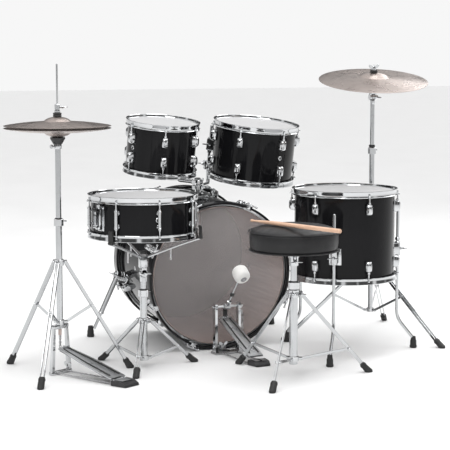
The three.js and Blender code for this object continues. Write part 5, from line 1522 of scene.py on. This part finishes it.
def studio_world(scene, sizes):
    """White to the eye; what gloss and chrome mirror is banded like a room of soft boxes."""
    world = bpy.data.worlds.new("studio")
    scene.world = world
    world.use_nodes = True
    tree = world.node_tree
    link = tree.links.new
    sky, out = tree.nodes["Background"], tree.nodes["World Output"]
    coordinates = tree.nodes.new("ShaderNodeTexCoord")
    split = tree.nodes.new("ShaderNodeSeparateXYZ")
    link(coordinates.outputs["Generated"], split.inputs["Vector"])

    def ramp(source, stops):
        node = tree.nodes.new("ShaderNodeValToRGB")
        while len(node.color_ramp.elements) < len(stops):
            node.color_ramp.elements.new(0.5)
        for element, (position, value) in zip(node.color_ramp.elements, stops):
            element.position, element.color = position, (value, value, value, 1)
        link(source, node.inputs["Fac"])
        return node.outputs["Color"]

    def calculate(operation, first, second):
        node = tree.nodes.new("ShaderNodeMath")
        node.operation = operation
        for socket, value in zip(node.inputs, (first, second)):
            if isinstance(value, (int, float)):
                socket.default_value = value
            else:
                link(value, socket)
        return node.outputs["Value"]

    height = calculate("MULTIPLY_ADD", split.outputs["Z"], 0.5)
    height.node.inputs[2].default_value = 0.5
    dome = ramp(height, ((0.0, 0.8), (0.47, 0.75), (0.52, 0.10), (0.66, 0.08), (0.74, 0.75),
                         (0.88, 1.3), (1.0, 1.4)))
    around = calculate("ARCTAN2", split.outputs["Y"], split.outputs["X"])
    turned = calculate("FRACT", calculate("MULTIPLY", around, 5 / (2 * math.pi)), 0)
    strips = ramp(turned, ((0.0, 0.0), (0.30, 0.0), (0.34, 0.85), (0.42, 0.85), (0.47, 0.04),
                           (0.78, 0.0), (0.80, 0.35), (0.84, 0.35), (0.87, 0.0)))
    level = ramp(height, ((0.0, 0.0), (0.49, 0.0), (0.52, 1.0), (0.68, 1.0), (0.75, 0.0)))
    glow = calculate("MULTIPLY", strips, level)
    link(calculate("ADD", dome, glow), sky.inputs["Strength"])
    backdrop = tree.nodes.new("ShaderNodeBackground")
    backdrop.inputs["Strength"].default_value = sizes.sky_strength
    path = tree.nodes.new("ShaderNodeLightPath")
    mix = tree.nodes.new("ShaderNodeMixShader")
    link(path.outputs["Is Camera Ray"], mix.inputs["Fac"])
    link(sky.outputs["Background"], mix.inputs[1])
    link(backdrop.outputs["Background"], mix.inputs[2])
    link(mix.outputs["Shader"], out.inputs["Surface"])
    sky.inputs["Color"].default_value = backdrop.inputs["Color"].default_value = (1, 1, 1, 1)


def stage(sizes):
    scene = bpy.context.scene
    scene.view_settings.view_transform = "Standard"
    ground = bpy.data.meshes.new("stage_floor")
    ground.from_pydata([(-30, -30, 0), (30, -30, 0), (30, 30, 0), (-30, 30, 0)], [], [(0, 1, 2, 3)])
    ground.materials.append(finish_material("floor", sizes.floor_colour))
    floor = bpy.data.objects.new("stage_floor", ground)
    scene.collection.objects.link(floor)
    floor.location.z = -0.0005
    studio_world(scene, sizes)
    area_light("key", (-2.6, -2.6, 3.2), (0, 0, 0.5), (2.2, 2.2), 60)
    area_light("rim", (2.8, 1.6, 2.8), (0, 0, 0.5), (1.6, 2.4), 45)
    area_light("top", (0.3, -0.6, 3.8), (0, 0, 0.4), (2.8, 1.2), 45)
    camera_data = bpy.data.cameras.new("camera")
    camera_data.sensor_width, camera_data.lens = SENSOR, sizes.lens
    camera = bpy.data.objects.new("camera", camera_data)
    camera.location = HOME @ Vector(CAMERA_PLACE)
    camera.rotation_euler = (math.radians(90 - CAMERA_PITCH), 0, math.radians(-CAMERA_TURN))
    scene.collection.objects.link(camera)
    scene.camera = camera


# ---- Add-on ------------------------------------------------------------------------------------------
class DrumKitSizes(bpy.types.PropertyGroup):
    """What a user would change."""
    lens: bpy.props.FloatProperty(name="Lens", description="Focal length of the stage camera",
                                  default=123.9, min=20, unit="CAMERA")
    sky_strength: bpy.props.FloatProperty(name="Sky strength", default=0.93, min=0,
                                          description="Brightness of the studio round the kit")
    floor_colour: bpy.props.FloatVectorProperty(name="Floor colour", subtype="COLOR", size=3,
                                                default=(0.9, 0.9, 0.9), min=0, max=1,
                                                description="Colour of the stage floor")


def operator(idname, label, words, work):
    """An operator class that runs one builder."""
    def execute(self, context):
        work(context.scene.drum_kit)
        return {"FINISHED"}
    return type("DRUMKIT_OT_" + idname, (bpy.types.Operator,), {
        "__doc__": words, "bl_idname": "drumkit." + idname, "bl_label": label,
        "bl_options": {"REGISTER", "UNDO"}, "execute": execute})


def build_bass(sizes):
    bass_shell()
    bass_end("batter", "clear")
    bass_end("front", "film")
    bass_lugs()
    spur_leg(-1, "spur_left")
    spur_leg(1, "spur_right")


def build_toms(sizes):
    tom_post()
    hanging_tom(SMALL_TOM, 582)
    hanging_tom(LARGE_TOM, 562)


def build_floor_tom(sizes):
    steel_drum(FLOOR_TOM, "root", floor_tom_brackets)
    floor_tom_legs()


def build_snare(sizes):
    steel_drum(SNARE, "snare_drum", snare_fittings)
    strainer_lever()
    snare_wires()


def build_throne(sizes):
    throne_metal()
    throne_seat()


OPERATORS = [
    operator("stage", "Stage", "Floor, studio light and camera", stage),
    operator("bass", "Bass drum", "Shell, wooden hoops, heads, claws and spurs", build_bass),
    operator("toms", "Hanging toms", "Both toms on their post and arms", build_toms),
    operator("floor_tom", "Floor tom", "Floor tom and its three legs", build_floor_tom),
    operator("snare", "Snare drum", "Snare drum, strainer and wires", build_snare),
    operator("snare_stand", "Snare stand", "Stand and basket", lambda sizes: snare_stand()),
    operator("hihat", "Hi-hat", "Hi-hat stand, pedal, clutch and cymbals", lambda sizes: hihat()),
    operator("crash", "Crash cymbal", "Cymbal stand and crash cymbal", lambda sizes: crash_stand()),
    operator("kick", "Kick pedal", "Pedal frame, footboard and beater", lambda sizes: kick_pedal()),
    operator("throne", "Throne", "Throne base, post and cushion", build_throne),
    operator("stick", "Stick", "The drum stick", lambda sizes: drum_stick()),
]


class DRUMKIT_PT_panel(bpy.types.Panel):
    """Lists the builders in the sidebar."""
    bl_label = "Drum Kit"
    bl_idname = "DRUMKIT_PT_panel"
    bl_space_type = "VIEW_3D"
    bl_region_type = "UI"
    bl_category = "Drum Kit"

    def draw(self, context):
        for name in DrumKitSizes.__annotations__:
            self.layout.prop(context.scene.drum_kit, name)
        for made in OPERATORS:
            self.layout.operator(made.bl_idname)


CLASSES = [DrumKitSizes, *OPERATORS, DRUMKIT_PT_panel]


def register():
    for made in CLASSES:
        bpy.utils.register_class(made)
    bpy.types.Scene.drum_kit = bpy.props.PointerProperty(type=DrumKitSizes)


def unregister():
    del bpy.types.Scene.drum_kit
    for made in reversed(CLASSES):
        bpy.utils.unregister_class(made)


def main():
    register()
    for made in OPERATORS:
        getattr(bpy.ops.drumkit, made.bl_idname.split(".")[1])()


if __name__ == "__main__":
    main()
